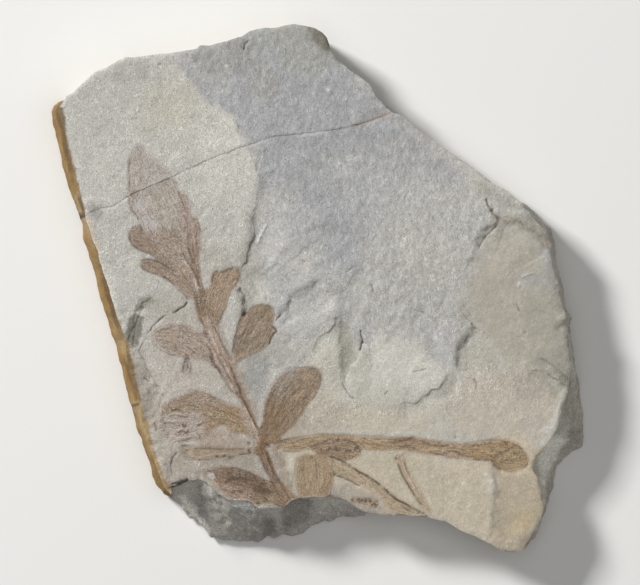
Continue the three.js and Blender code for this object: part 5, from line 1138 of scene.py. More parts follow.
def is_inside(points, outline):
    """Whether each point lies inside a closed outline."""
    inside = np.zeros(len(points), bool)
    x, y = points.T
    for (ax, ay), (bx, by) in zip(outline, np.roll(outline, -1, axis=0)):
        if ay != by:
            crosses = (ay > y) != (by > y)
            inside ^= crosses & (x < ax + (y - ay) * (bx - ax) / (by - ay))
    return inside


def depth_inside(points, outline, reach):
    """Distance to a closed outline, positive inside and negative outside, up to `reach` either way."""
    outline = np.asarray(outline, float)
    distance, _, _ = nearest_on_line(points, ring(outline), reach)
    return np.where(is_inside(points, outline), distance, -distance)


def end_taper(share, taper):
    """0 at both ends of a line, 1 along its middle."""
    return smooth(0, taper, share) * smooth(0, taper, 1 - share)


def line_strength(points, line, half_width, taper=MARK_TAPER):
    """How strongly a thin mark shows at each point: 1 on its line, 0 at its ends and well aside of it."""
    distance, _, share = nearest_on_line(points, line, 3 * half_width)
    return bump(distance, half_width) * end_taper(share, taper)


def spot_strength(points, x, y, radius):
    """How strongly a round mark shows at each point: 1 at its middle."""
    return bump(np.hypot(points[:, 0] - x, points[:, 1] - y), radius)


# ---------------------------------------------------------------- height of the face

LEDGE_LINES = natural_lines(LEDGES, 0.6, LEDGE_WANDERS)
GROOVE_LINES = natural_lines(GROOVES, 0.5, GROOVE_WANDERS)
RIDGE_LINES = natural_lines(RIDGES, 0.8, RIDGE_WANDERS)


def below_ledge(points, width, line, reach, ragged):
    """How far each point lies on a ledge's low side, and its share of the ledge's length."""
    distance, hand, share = nearest_on_line(points, line, reach)
    raggedness = min(NARROW_RAGGEDNESS + RAGGEDNESS_BY_WIDTH * width, MOST_RAGGEDNESS)
    return hand * distance + raggedness * ragged, share


def ledge_fall(points):
    """How far the ledges lower the face."""
    x, y = points.T
    fall = np.zeros(len(points))
    ragged = layered(x, y, RAGGED_EDGE)
    uneven = 0.9 + 0.3 * noise(x, y, 9, 111)
    crumbled = 0.55 * noise(x, y, 2.8, 112)
    for (drop, width, step, fade, reach, _, _), line in zip(LEDGES, LEDGE_LINES):
        below, share = below_ledge(points, width, line, reach, ragged)
        sharp = step * smooth(-width / 2, width / 2, below)
        flattening = (1 - step) * (1 - np.exp(-np.maximum(below, 0) / fade))
        climbs_back = 1 - smooth(0.15, 1, below / reach)
        strength = uneven + crumbled * bump(below, 1.5)
        fall += drop * strength * (sharp + flattening) * climbs_back * end_taper(share, LEDGE_TAPER)
    return fall


def broad_height(points):
    """The face's slope and swells, without its ledges."""
    x, y = points.T
    height = FACE_LEVEL + FACE_RISE_ACROSS * x + FACE_RISE_UP * y
    for rise, spacing, direction, shift in SWELLS:
        angle = math.radians(direction)
        along = x * math.cos(angle) + y * math.sin(angle)
        height = height + rise * np.sin(2 * math.pi * along / spacing + shift)
    return height


def area_share(points, outline, soft, wander, spacing, seed):
    """1 well inside an outline and 0 well outside, with a soft edge that wanders."""
    depth = depth_inside(points, outline, AREA_REACH) + wander * fractal(*points.T, spacing, seed)
    return smooth(-soft, soft, depth)


def streakiness(points):
    """Share of the grey stone's streaks and scales at each point."""
    return area_share(points, STREAKY_AREA, 3, 2.5, 14, 3)


def grain_share(points):
    """How strongly the grain of the split surface shows: less where it is smooth."""
    share = np.ones(len(points))
    for number, (smoother, outline) in enumerate(SMOOTH_AREAS):
        share -= smoother * area_share(points, outline, 5, 3, 12, 151 + number) * share
    return share


def slanting_facets(points):
    """Long facets that slant down to the left, where the face is broken."""
    x, y = points.T
    run_x, run_y = FACET_RUN
    along = (run_x * x + run_y * y) / FACET_LENGTH
    across = run_x * y - run_y * x
    warp = 2.0 * fractal(x, y, 14, 162)
    large = 0.36 * facets(along + warp, across + warp, 8.0, 163)
    small = 0.13 * facets(along, across + warp, 3.4, 164)
    return area_share(points, FACETED_AREA, 6, 3, 12, 161) * (large + small)


def small_flakes(points):
    """Rough little flakes along the left side."""
    x, y = points.T
    warp = 1.2 * fractal(x, y, 7, 166)
    flakes = 0.5 * facets(x + warp, y + warp, 4.2, 167) + 0.22 * facets(x - warp, y, 1.9, 168)
    return area_share(points, FLAKY_AREA, 4, 2, 9, 165) * flakes


def fine_relief(points):
    """Small lumps, flakes and scales of the split surface."""
    x, y = points.T
    lumps = layered(x, y, SOFT_LUMPS) + grain_share(points) * layered(x, y, SPLIT_GRAIN)
    flakes = treads(0.55 * fractal(x, y, 30, 24, octaves=4), FLAKE_STEP)
    scales = np.abs(noise(x, y, 4.2, 28)) + 0.6 * np.abs(noise(x * 1.3, y * 0.8, 2.2, 29))
    slanting = slanting_facets(points) + small_flakes(points)
    return lumps + 0.7 * flakes + 0.16 * streakiness(points) * scales + slanting


def groove_strengths(points):
    """How far each groove is open at each point: those with little dirt and shade are broken along their
    way.
    """
    open_share = smooth(-0.7, 0.1, noise(*points.T, 2.6, 115))
    for (_, half_width, dirt_and_shade, _), line in zip(GROOVES, GROOVE_LINES):
        opened = np.maximum(open_share, smooth(0.5, 0.9, dirt_and_shade))
        yield opened * line_strength(points, line, half_width)


def marks_relief(points):
    """Grooves, ridges, pits and lumps."""
    relief = np.zeros(len(points))
    for (depth, _, _, _), strength in zip(GROOVES, groove_strengths(points)):
        relief -= depth * strength
    for (rise, half_width, _), line in zip(RIDGES, RIDGE_LINES):
        relief += rise * line_strength(points, line, half_width, RIDGE_TAPER)
    for x, y, radius, rise, _ in SPOTS:
        relief += rise * spot_strength(points, x, y, radius)
    return relief


def face_height(points):
    """Height of the stone's face over the flat back."""
    return broad_height(points) - ledge_fall(points) + fine_relief(points) + marks_relief(points)


# ---------------------------------------------------------------- colour of the face


def linear(tone):
    """A tone from 0 to 255 as the linear colour that shaders use, by the sRGB curve."""
    share = np.asarray(tone, float) / 255
    return np.where(share <= 0.04045, share / 12.92, ((share + 0.055) / 1.055) ** 2.4)


def painted(points, ground, areas, seed):
    """Colour at each point, with areas of other tones painted over the ground colour."""
    x, y = points.T
    mottle = noise(x, y, 2.0, seed) + 0.7 * noise(x, y, 1.1, seed + 1)
    tone = np.zeros((len(points), 3)) + ground
    for number, (area_tone, soft, wander, cover, outline) in enumerate(areas):
        depth = depth_inside(points, outline, soft + 2 * wander)
        depth += wander * (fractal(x, y, 2 * soft, seed + number, octaves=5) + 0.35 * mottle)
        weight = (cover * smooth(-soft / 2, soft / 2, depth))[:, None]
        tone += weight * (linear(area_tone) - tone)
    return tone


def face_tone(points):
    """Colour of the stone at each point of the face."""
    return painted(points, linear(PALE), AREAS, 131)


def face_dirt_and_shade(points):
    """Share of dark dirt and painted shade at the foot of ledges, in cracks and in pits."""
    x, y = points.T
    dirt_and_shade = np.zeros(len(points))
    ragged = layered(x, y, RAGGED_EDGE)
    # the foot of each ledge is darkened as painted shade
    for (_, width, _, _, _, darkness, _), line in zip(LEDGES, LEDGE_LINES):
        below, share = below_ledge(points, width, line, 4 * width, ragged)
        foot = bump(below - 0.3 * width, 0.7 * width)
        dirt_and_shade = np.maximum(dirt_and_shade, darkness * foot * end_taper(share, LEDGE_TAPER))
    for (_, _, darkness, _), strength in zip(GROOVES, groove_strengths(points)):
        dirt_and_shade = np.maximum(dirt_and_shade, darkness * strength)
    for spot_x, spot_y, radius, _, darkness in SPOTS:
        dirt_and_shade = np.maximum(dirt_and_shade, darkness * spot_strength(points, spot_x, spot_y, radius))
    return dirt_and_shade * (0.75 + layered(x, y, MOTTLED_DIRT_AND_SHADE))


def face_chips(points):
    """Share of fresh pale stone on ridges and little chips."""
    chips = np.zeros(len(points))
    for (_, half_width, _), line in zip(RIDGES, RIDGE_LINES):
        chips = np.maximum(chips, 0.25 * line_strength(points, line, half_width, RIDGE_TAPER))
    for speck in SPECKS:
        chips = np.maximum(chips, spot_strength(points, *speck))
    return chips


# ---------------------------------------------------------------- meshes


def even_points(low, high, spacing, seed):
    """A six-way grid of points over a box, each moved a little so that no rows show."""
    row_step = spacing * math.sqrt(0.75)
    row_count = int((high[1] - low[1]) / row_step) + 2
    column_count = int((high[0] - low[0]) / spacing) + 2
    rows, columns = np.meshgrid(np.arange(row_count), np.arange(column_count), indexing="ij")
    stray = [GRID_UNEVENNESS * spacing * lattice(rows, columns, 0 * rows, seed + i) for i in (0, 1)]
    x = low[0] + (columns + 0.5 * (rows % 2)) * spacing + stray[0]
    y = low[1] + rows * row_step + stray[1]
    return np.column_stack([x.ravel(), y.ravel()])


def spaced_apart(points, distance):
    """Drops each point that shares its cell of a fine grid with one before it."""
    cells = np.floor(points / distance).astype(int)
    _, first = np.unique(cells, axis=0, return_index=True)
    return points[np.sort(first)]


def thinned(points, kept, distance):
    """The points that have none of the `kept` ones within about `distance`."""
    taken = {tuple(cell) for cell in np.floor(kept / distance).astype(int)}
    around = [(dx, dy) for dx in (-1, 0, 1) for dy in (-1, 0, 1)]
    cells = np.floor(points / distance).astype(int)
    clear = [not any((cx + dx, cy + dy) in taken for dx, dy in around) for cx, cy in cells]
    return points[np.array(clear, bool)]


def triangulated(outline, inner):
    """Triangles inside an outline through the points within it. The outline's points come first."""
    points = np.vstack([outline, inner])
    border = list(range(len(outline)))
    places = [Vector(point) for point in points]
    vertices, _, faces, origins, _, _ = delaunay_2d_cdt(places, [], [border], 1, 1e-5)
    if len(vertices) != len(points):
        raise ValueError(f"{len(points)} points became {len(vertices)}")
    number = np.array([origin[0] for origin in origins])
    triangles = number[np.array([list(face) for face in faces])]
    a, b, c = (points[triangles[:, i]] for i in range(3))
    turned = np.cross(b - a, c - a) < 0
    triangles[turned] = triangles[turned][:, ::-1]
    return points, triangles


def band(top, bottom):
    """Triangles between two closed rows of point numbers that run the same way."""
    top_next, bottom_next = np.roll(top, -1), np.roll(bottom, -1)
    return np.vstack([
        np.column_stack([top, top_next, bottom]),
        np.column_stack([bottom, top_next, bottom_next]),
    ])


def make_piece(name, points, triangles, looks, material, slot, sharp_angle):
    """A closed mesh with its looks as attributes, in place of the frame's node of that name.

    Edges that turn by more than the sharp angle keep a crease."""
    mesh = bpy.data.meshes.new(name)
    mesh.from_pydata((points * MM).tolist(), [], triangles.tolist())
    for look, values in looks.items():
        kind, field = ("FLOAT_VECTOR", "vector") if values.ndim == 2 else ("FLOAT", "value")
        attribute = mesh.attributes.new(look, kind, "POINT")
        attribute.data.foreach_set(field, values.astype(np.float32).ravel())
    mesh.shade_smooth()
    mesh.set_sharp_from_angle(angle=math.radians(sharp_angle))
    mesh.materials.append(material)
    piece = bpy.data.objects.new(name, mesh)
    bpy.context.scene.collection.objects.link(piece)
    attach(piece, "root")
    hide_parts(name)


# ---------------------------------------------------------------- sides of the stone

# How each side is broken: its outline, tone, roughness and kind.
SIDES = [
    [LEFT_SIDE, OCHRE, 0.45, "weathered"],
    [TOP_SIDE, BEVEL, 0.9, "steep"],
    [RIGHT_SIDE, BEVEL, 1.0, "chipped"],
    [LOWER_RIGHT_SIDE, CREAM, 0.9, "steep"],
    [BROKEN_SIDE, FRACTURE, 1.7, "broken"],
]
CRACK_ROUGHNESS = 0.05
CRACK_END = 9.0  # how far from its ends a wall of the crack follows the plate's outer side

# The columns down the side of a stone are kept as parallel arrays, one row for each column: its widest
# place, its place on the face, the way inwards, how far along the outline it stands, its undercut,
# chamfer and roughness, its tone, whether it is weathered ochre and whether it is a wall of the crack.


def picked(columns, numbers):
    """The columns with these numbers, in this order."""
    return SimpleNamespace(**{key: values[numbers] for key, values in vars(columns).items()})


def joined(first, second):
    """The first columns and then the second ones."""
    both = {key: np.concatenate([values, vars(second)[key]]) for key, values in vars(first).items()}
    return SimpleNamespace(**both)


def inward_of(points, span=3):
    """The way inwards at each point of a clockwise outline."""
    return turned_right(directions(np.roll(points, -span, axis=0) - np.roll(points, span, axis=0)))


def outer_columns():
    """The columns all the way round the plate, clockwise from the bottom left corner."""
    rows = []
    for side, tone, rough, kind in SIDES:
        steep = kind == "steep"
        looks = [UNDERCUT * steep, BACK_CHAMFER * (not steep), rough, *linear(tone), kind == "weathered"]
        rows += [(row if len(row) == 4 else 2 * row) + looks for row in side]
    rows = np.array(rows + rows[:1], float)
    walked = walked_along(rows[:, 2:4])
    count = int(walked[-1] / RIM_SPACING)
    at = np.arange(count) * walked[-1] / count
    values = np.column_stack([np.interp(at, walked, column) for column in rows.T])
    wide, face = (wandered(values[:, i:i + 2], *RIM_WANDER) for i in (0, 2))
    return SimpleNamespace(
        wide=wide, face=face, inward=inward_of(wide), along=at, undercut=values[:, 4],
        chamfer=values[:, 5], rough=values[:, 6], tone=values[:, 7:10], ochre=values[:, 10],
        crack=np.zeros(count),
    )


def crack_columns(start, end):
    """The columns down one wall of the crack, between two places on the plate's outline."""
    from_the_right = start[0] > end[0]
    between = BREAK_LINE[-2:0:-1] if from_the_right else BREAK_LINE[1:-1]
    line = resampled(np.vstack([start, between, end]), RIM_SPACING)
    fade = end_taper(np.linspace(0, 1, len(line)), CRACK_TAPER)[:, None]
    line = line + fade * (wandered(line, *CRACK_WANDER) - line)
    inward = turned_right(directions(np.gradient(line, axis=0)))
    lip = CRACK_LIP * smooth(-0.3, 0.9, fractal(*line.T, 3.5, 231 + int(start[0] > 0)))
    wall = line + inward * CRACK_GAP / 2
    count = len(line)
    ones = np.ones(count)
    columns = SimpleNamespace(
        wide=wall, face=wall + inward * lip[:, None], inward=inward,
        along=RIM_SPACING * np.arange(count), undercut=0 * ones, chamfer=0 * ones,
        rough=CRACK_ROUGHNESS * ones, tone=np.tile(linear(CEMENT), (count, 1)), ochre=0 * ones,
        crack=ones,
    )
    return picked(columns, np.arange(1, count - 1))


def fragment_columns(columns, upper):
    """The columns round one fragment, clockwise: its share of the outline, then its side of the crack."""
    ends = [np.argmin(lengths_of(columns.face - place)) for place in (BREAK_LINE[0], BREAK_LINE[-1])]
    first, last = ends if upper else ends[::-1]
    count = len(columns.face)
    outer = picked(columns, np.arange(first, last + 1 + count * (last < first)) % count)
    wall = crack_columns(outer.face[-1], outer.face[0])
    for end, beside in ((0, -1), (-1, 0)):
        aside = wall.inward[beside] * CRACK_GAP / 2
        outer.wide[end] += aside
        outer.face[end] += aside
    return joined(outer, wall)


def side_push(columns, share, height):
    """How far the side is pushed inwards at a share of the height, by its breaks and its beds."""
    x, y = columns.wide.T
    along = columns.along
    beds = np.floor(height / BED_HEIGHT + 0.6 * fractal(x, y, 16, 241))
    layers = 0.45 * noise(x, y, 8, 242, z=beds * 5.7)
    lumps = 0.5 * fractal(x, y, 6, 243, octaves=4, z=height)
    flats = 0.8 * facets(along, height * 0.8, 7.5, 246) + 0.45 * facets(along, height * 1.2, 3.1, 247)
    flats = flats + 0.3 * noise(along, height, 1.7, 248)
    quiet_ends = smooth(1.0, 0.86, share) * (0.35 + 0.65 * smooth(0, 0.1, share))
    push = columns.rough * quiet_ends * (layers + lumps + flats)
    return np.where(columns.undercut > 0, 0.6 * (np.abs(push) + 0.3 * push), push)


def follow_ends(columns, place):
    """Lets the ends of a crack wall follow the side that they run into, where it leans or draws in."""
    wall = np.flatnonzero(columns.crack)
    share = np.linspace(0, 1, len(wall) + 2)[1:-1]
    length = RIM_SPACING * len(wall)
    for end, from_end in ((wall[0] - 1, share), (0, 1 - share)):
        shift = place[end] - columns.face[end]
        place[wall] += shift * (1 - smooth(0, CRACK_END, from_end * length))[:, None]
    return place


def side_rows(columns, rim_height):
    """The rows of the side from just under the rim down to the back, as points and shares of height."""
    shares = 1 - (np.arange(1, SIDE_ROWS + 1) / SIDE_ROWS) ** ROW_CROWDING
    levels, leans, undercuts = SIDE_LEVELS
    rows = []
    for share in shares:
        height = share * rim_height
        aside = columns.undercut * np.interp(share, levels, undercuts)
        aside = aside + columns.chamfer * smooth(0.1, 0, share) + side_push(columns, share, height)
        leaning = np.interp(share, levels, leans) * (columns.face - columns.wide)
        place = follow_ends(columns, columns.wide + leaning + columns.inward * aside[:, None])
        rows.append(np.column_stack([place, height]))
    return np.array(rows), shares


def side_tone(columns, rows, shares):
    """Colour of the side: each side's own tone, with bands, stains, painted light on bevels, light and
    dark facets as painted light and shade, paler patches at the back edge and, on the left, rusty
    streaks.
    """
    x, y, z = rows.reshape(-1, 3).T
    count = len(shares)
    ochre = np.tile(columns.ochre, count)
    share = np.repeat(shares, len(columns.face))
    bands = 0.5 + 0.5 * noise(x, y, 22, 251, z=z * 5)
    clouds = 0.5 + 0.5 * fractal(x, y, 9, 252, octaves=4, z=z)
    spots = noise(x, y, 2.2, 253, z=z) + noise(x, y, 1.2, 254, z=z)
    # light and dark facets in the tone: painted light and shade of the broken faces
    flats = facets(np.tile(columns.along, count), z, 5.5, 255)
    value = 0.80 + 0.20 * bands * (1 - ochre) + 0.40 * clouds + 0.08 * spots + 0.10 * flats
    ground = np.tile(columns.tone, (count, 1)) * value[:, None]
    tone = painted(np.column_stack([x, y]), ground, SIDE_AREAS, 191)
    rust = ochre * smooth(0.45, 0.7, share) * smooth(-0.5, 0.3, noise(x, y, 9, 256)) * smooth(-55, -30, y)
    tone += (0.75 * rust)[:, None] * (linear(RUST) - tone)
    # paler patches on the sides just above the back edge
    paler_back_edge = (1 - ochre) * smooth(0.10, 0.02, share) * smooth(-0.5, 0.3, noise(x, y, 5, 257))
    tone += (0.7 * paler_back_edge)[:, None] * (linear(CHIP) - tone)
    return tone


# ---------------------------------------------------------------- the two stone fragments

SMOOTH_LEDGE = 0.4  # width over which the mesh is made fine along a ledge
MARK_ASIDES = (0, -0.5, 0.5, -1, 1, -1.7, 1.7)  # how far beside a mark its rows run, in its widths
SIDE_GRAIN = 0.95  # how strongly a smooth side's grain shows, and how much more on a rough one
ROUGH_SIDE_GRAIN = 0.3
BACK_GRAIN = 1.4
BACK_RELIEF = 0.22
CRACK_EDGE_DROP = [0.05, 0.3]  # how far the face drops at the crack, and over what distance
RIM_WEAR = [[0.9, 0.55], [0.35, 1.8]]  # how far it drops at the rim, in rows of [depth, distance]


def mark_points():
    """Close rows of points along every ledge, groove and ridge, so that their edges come out sharp."""
    rows = []
    widths = [SMOOTH_LEDGE] * len(LEDGES) + [row[1] for row in GROOVES + RIDGES]
    for line, width in zip(LEDGE_LINES + GROOVE_LINES + RIDGE_LINES, widths):
        even = resampled(line, MARK_SPACING)
        left = -turned_right(directions(np.gradient(even, axis=0)))
        rows += [even + aside * width * left for aside in MARK_ASIDES]
    return spaced_apart(np.vstack(rows), MARK_CELL)


def rim_drop(points, distance, outer):
    """How far the face falls away towards its broken rim, and towards its rounded right shoulder."""
    x, y = points.T
    wear = 0.45 + 0.4 * fractal(x, y, 5, 261)
    worn_off = sum(depth * np.exp(-distance / reach) for depth, reach in RIM_WEAR)
    shoulder = smooth(*SHOULDER_START, x) * smooth(SHOULDER_END - SHOULDER_FADE, SHOULDER_END, y)
    rounding = shoulder * (1.1 + 0.3 * fractal(x, y, 9, 262)) * np.exp(-((distance / 2.6) ** 1.4))
    return outer * (wear * worn_off + rounding)


def film_hollow(points):
    """How far the stone's face is let down to take the films, and how near it is to a film."""
    hollow = np.zeros(len(points))
    nearness = np.full(len(points), -np.inf)
    for name in FILMS:
        depth = depth_inside(points, film_outline(name), 4)
        hollow = np.maximum(hollow, HOLLOW_DEPTH * smooth(0.05, FILM_ROUNDING, depth))
        nearness = np.maximum(nearness, depth)
    return hollow, nearness


def film_stain(nearness):
    """Share of leaf brown in the stone beside a film: strong at the film, faint a little farther out."""
    return 0.08 * smooth(-1.8, 0, nearness) + 0.30 * smooth(-0.5, 0.2, nearness)


def face_mesh(rim):
    """The face's points and triangles, the points' distance to the rim and their nearest column."""
    marks = mark_points()
    grid = even_points(rim.min(0), rim.max(0), FACE_SPACING, 271)
    inner = np.vstack([marks, thinned(grid, marks, MARK_CLEARANCE)])
    distance, _, share = nearest_on_line(inner, ring(rim), 6)
    fits = is_inside(inner, rim) & (distance > RIM_CLEARANCE)
    flat, triangles = triangulated(rim, inner[fits])
    count = len(rim)
    nearest_column = np.r_[np.arange(count), (share[fits] * count).astype(int) % count]
    return flat, triangles, np.r_[np.zeros(count), distance[fits]], nearest_column


def back_mesh(columns, rim):
    """The back's inner points and its triangles, which also use the last row of the side."""
    grid = even_points(columns.face.min(0), columns.face.max(0), BACK_SPACING, 281)
    distance, _, _ = nearest_on_line(grid, ring(rim), 4)
    grid = grid[is_inside(grid, rim) & (distance > BACK_CLEARANCE)]
    second_ring = rim + BACK_RING * columns.inward
    second_ring = spaced_apart(second_ring[is_inside(second_ring, rim)], BACK_RING_SPACING)
    inner = np.vstack([second_ring, grid])
    _, triangles = triangulated(rim, inner)
    relief = BACK_RELIEF * (0.5 + 0.5 * fractal(*inner.T, 15, 291))
    return np.column_stack([inner, relief]), triangles[:, ::-1]


def crack_looks(points, in_crack, distance):
    """Share of dirt and painted shade along the crack, and of pale stone on its lower lip, where there is
    less of them.
    """
    patchy = smooth(-0.5, 0.4, noise(*points.T, 7, 293))
    dirt_and_shade = in_crack * bump(distance, 0.22) * (0.05 + 0.3 * patchy)
    return dirt_and_shade, 0.5 * in_crack * bump(distance - 0.8, 0.5) * (1 - patchy)


def build_fragment(name, columns, material):
    """One stone fragment as a closed mesh: its face, its side and its back."""
    flat, face_triangles, distance, nearest_column = face_mesh(columns.face)
    count = len(columns.face)
    face_count = len(flat)
    in_crack = columns.crack[nearest_column]
    hollow, nearness = film_hollow(flat)
    height = face_height(flat) - rim_drop(flat, distance, 1 - in_crack) - hollow
    drop, reach = CRACK_EDGE_DROP
    height -= drop * in_crack * np.exp(-distance / reach)
    rows, shares = side_rows(columns, height[:count])
    back, back_triangles = back_mesh(columns, rows[-1][:, :2])

    points = np.vstack([np.column_stack([flat, height]), rows.reshape(-1, 3), back])
    numbers = [np.arange(count)] + list(face_count + np.arange(SIDE_ROWS * count).reshape(-1, count))
    bands = [band(top, bottom) for top, bottom in zip(numbers[:-1], numbers[1:])]
    triangles = np.vstack([face_triangles, *bands, back_triangles + numbers[-1][0]])

    # dirt and painted shade in the crack, at the feet of ledges, in grooves and in pits
    crack_dirt_and_shade, pale_lip = crack_looks(flat, in_crack, distance)
    dark = np.maximum(face_dirt_and_shade(flat), 0.6 * leaf_marks(flat, DARK_MARKS))
    bare = np.zeros(len(points) - face_count)
    side_grain = np.tile(SIDE_GRAIN + ROUGH_SIDE_GRAIN * columns.rough, SIDE_ROWS)
    back_tone = np.tile(linear(BEVEL), (len(back), 1))
    looks = {
        "tone": np.vstack([face_tone(flat), side_tone(columns, rows, shares), back_tone]),
        "grain": np.r_[grain_share(flat), side_grain, np.full(len(back), BACK_GRAIN)],
        "dirt_and_shade": np.r_[np.maximum(dark, crack_dirt_and_shade), bare],
        "chips": np.r_[np.maximum(face_chips(flat), pale_lip * (name == "slab_lower")), bare],
        "streaks": np.r_[streakiness(flat), bare],
        "stain": np.r_[film_stain(nearness), bare],
    }
    make_piece(name, points, triangles, looks, material, "stone", STONE_CREASE)


# ---------------------------------------------------------------- leaf films

FILM_REACH = 60  # farther than any point of a film lies from its axis
NEIGHBOUR_REACH = 3.0
NEIGHBOUR_CLEARANCE = 0.6  # a margin as near as this to a neighbour is not frayed
STATIONS = np.linspace(0, 1, 13)  # shares of a leaf's length where its width is measured
STATION_REACH = 0.07
LEAST_HALF_WIDTH = 0.5

OUTLINES = {}


def frame_outline(node):
    """The outline of a frame node's upper face, as corner points in millimetres."""
    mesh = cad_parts[node].data
    places = [tuple(round(value / MM, 2) for value in vertex.co[:2]) for vertex in mesh.vertices]
    edges = set()
    for polygon in mesh.polygons:
        if polygon.normal.z > 0.5:
            corners = [places[number] for number in polygon.vertices]
            edges.update(zip(corners, corners[1:] + corners[:1]))
    following = {start: end for start, end in edges if (end, start) not in edges}
    outline = [next(iter(following))]
    while len(outline) < len(following):
        outline.append(following[outline[-1]])
    return np.array(outline)


def without_straight_points(outline, tolerance=0.06):
    """Drops the points that lie on the straight line between their neighbours."""
    kept = list(outline)
    number = 0
    while number < len(kept):
        before, here, after = (kept[(number + step) % len(kept)] for step in (-1, 0, 1))
        along = (after - before) / np.hypot(*(after - before))
        aside = abs(along[0] * (here - before)[1] - along[1] * (here - before)[0])
        if aside < tolerance:
            kept.pop(number)
        else:
            number += 1
    return np.array(kept)


def rounded(outline, times, cut=0.22):
    """An outline with its corners cut and cut again until it runs in curves."""
    for _ in range(times):
        after = np.roll(outline, -1, axis=0)
        near, far = (1 - cut) * outline + cut * after, cut * outline + (1 - cut) * after
        outline = np.stack([near, far], 1).reshape(-1, 2)
    return outline


def signed_area(outline):
    """Area of an outline, positive where it runs anticlockwise."""
    x, y = outline.T
    return 0.5 * float(np.sum(x * np.roll(y, -1) - y * np.roll(x, -1)))


def film_outline(name):
    """The curved outline of a leaf film, a little uneven, as its node in the frame lies."""
    if name not in OUTLINES:
        corners = without_straight_points(frame_outline(name))
        even = resampled(rounded(corners, 3), FILM_SPACING, closed=True)
        outwards = inward_of(even, 2) * np.sign(signed_area(even))
        apart = np.full(len(even), NEIGHBOUR_REACH)
        for other in FILMS:
            if other != name:
                depth = depth_inside(even, frame_outline(other), NEIGHBOUR_REACH)
                apart = np.minimum(apart, -depth)
        growth = FILM_GROWTH + FILM_OVERLAP * smooth(1.2, 0.5, apart)
        OUTLINES[name] = wandered(even + growth[:, None] * outwards, *FILM_WANDER)
    return OUTLINES[name]


def leaf_places(points, outline, axis, strands):
    """Where each point lies on its leaf: strands aside of the axis, and millimetres along it."""
    line = resampled(axis, 1.0)
    edge_distance, _, edge_share = nearest_on_line(outline, line, FILM_REACH)
    distance, hand, share = nearest_on_line(points, line, FILM_REACH)
    beside = [edge_distance[np.abs(edge_share - at) < STATION_REACH] for at in STATIONS]
    widest = [max(values, default=LEAST_HALF_WIDTH) for values in beside]
    half_width = np.maximum(np.interp(share, STATIONS, widest), LEAST_HALF_WIDTH)
    return hand * distance / half_width * strands / 2, share * walked_along(line)[-1]


def film_relief(across, along, worn_away):
    """Low relief of a film: strands, wrinkles and places where it has flaked off."""
    strands = 0.03 * np.cos(2 * math.pi * (across + 0.25 * noise(across, along, 5, 311)))
    grain = 0.05 * noise(across * 1.6, along * 0.4, 1, 312) + 0.04 * noise(across, along, 1.4, 313)
    return strands + grain - 0.05 * worn_away


def leaf_marks(points, rows):
    """Strength of the nearest mark at each point, broken up along its way."""
    strength = np.zeros(len(points))
    broken = smooth(-0.8, 0.1, noise(*points.T, 1.3, 350))
    for (half_width, darkness, _), line in zip(rows, natural_lines(rows, 0.7, LEAF_MARK_WANDERS)):
        strength = np.maximum(strength, darkness * line_strength(points, line, half_width))
    return strength * (0.5 + 0.5 * broken)


def film_face(name, seed):
    """The points and triangles of a film's upper face, and how far inside its margin each point lies."""
    outline = film_outline(name)
    inner = even_points(outline.min(0), outline.max(0), FILM_SPACING, seed)
    inner_depth = depth_inside(inner, outline, NEIGHBOUR_REACH)
    fits = inner_depth > FILM_CLEARANCE
    flat, triangles = triangulated(outline, inner[fits])
    return flat, triangles, np.r_[np.zeros(len(outline)), inner_depth[fits]]


def film_wall(outline, count):
    """Triangles down a film's margin, between an upper and a lower face of `count` points each."""
    border = np.arange(len(outline))
    if signed_area(outline) < 0:
        border = border[::-1]
    return band(border, border + count)[:, ::-1]


def frayed_depth(name, points, depth):
    """How far inside the frayed margin each point lies. A film is not frayed where it meets another."""
    others = [film_outline(other) for other in FILMS if other != name]
    neighbour = np.max([depth_inside(points, other, NEIGHBOUR_REACH) for other in others], axis=0)
    return np.where(neighbour > -NEIGHBOUR_CLEARANCE - depth, NEIGHBOUR_REACH, depth)


def build_film(number, name, material):
    """One leaf film as a thin closed mesh that lies in its hollow."""
    slot, tone, strand_count, worn, axis = FILMS[name]
    flat, triangles, depth = film_face(name, 321 + number)
    count = len(flat)
    across, along = leaf_places(flat, film_outline(name), axis, strand_count)
    worn_away = smooth(0.25, 0.75, 0.5 + 0.5 * fractal(*flat.T, 5, 331) + 0.6 * (worn - 0.3))
    ground = face_height(flat)
    inside = smooth(0, FILM_ROUNDING, depth)
    lift = FILM_LIFT + FILM_STAGGER * (number % 3) + FILM_SWELL * inside
    top = ground + lift + inside * film_relief(across, along, worn_away)
    bottom = ground - FILM_EDGE - FILM_DEPTH * inside

    points = np.vstack([np.column_stack([flat, top]), np.column_stack([flat, bottom])])
    wall = film_wall(film_outline(name), count)
    triangles = np.vstack([triangles, triangles[:, ::-1] + count, wall])
    looks = {
        "tone": face_tone(flat),
        "leaf": np.column_stack([across, along, np.full(count, 7.3 * number)]),
        "margin": frayed_depth(name, flat, depth),
        "worn": 0.35 * worn_away + 0.75 * worn,
        "brown": painted(flat, linear(tone), LEAF_AREAS, 171),
        # the stone's dirt and painted shade, fainter on the film
        "dirt_and_shade": 0.6 * face_dirt_and_shade(flat),
        "dark": leaf_marks(flat, DARK_MARKS),
        "light": leaf_marks(flat, LIGHT_MARKS),
    }
    looks = {look: np.concatenate([values, values]) for look, values in looks.items()}
    make_piece(name, points, triangles, looks, material, slot, FILM_CREASE)


# ---------------------------------------------------------------- materials

# Flecks of the stone: rows of [size in metres, where they start and are full, change in brightness].
FLECKS = [
    [0.00045, 0.60, 0.70, 0.16], [0.0004, 0.60, 0.70, -0.17], [0.0011, 0.60, 0.68, 0.10],
    [0.0012, 0.60, 0.68, -0.09],
]
BUMP_DISTANCE = 0.00025  # metres that a material's full height stands for


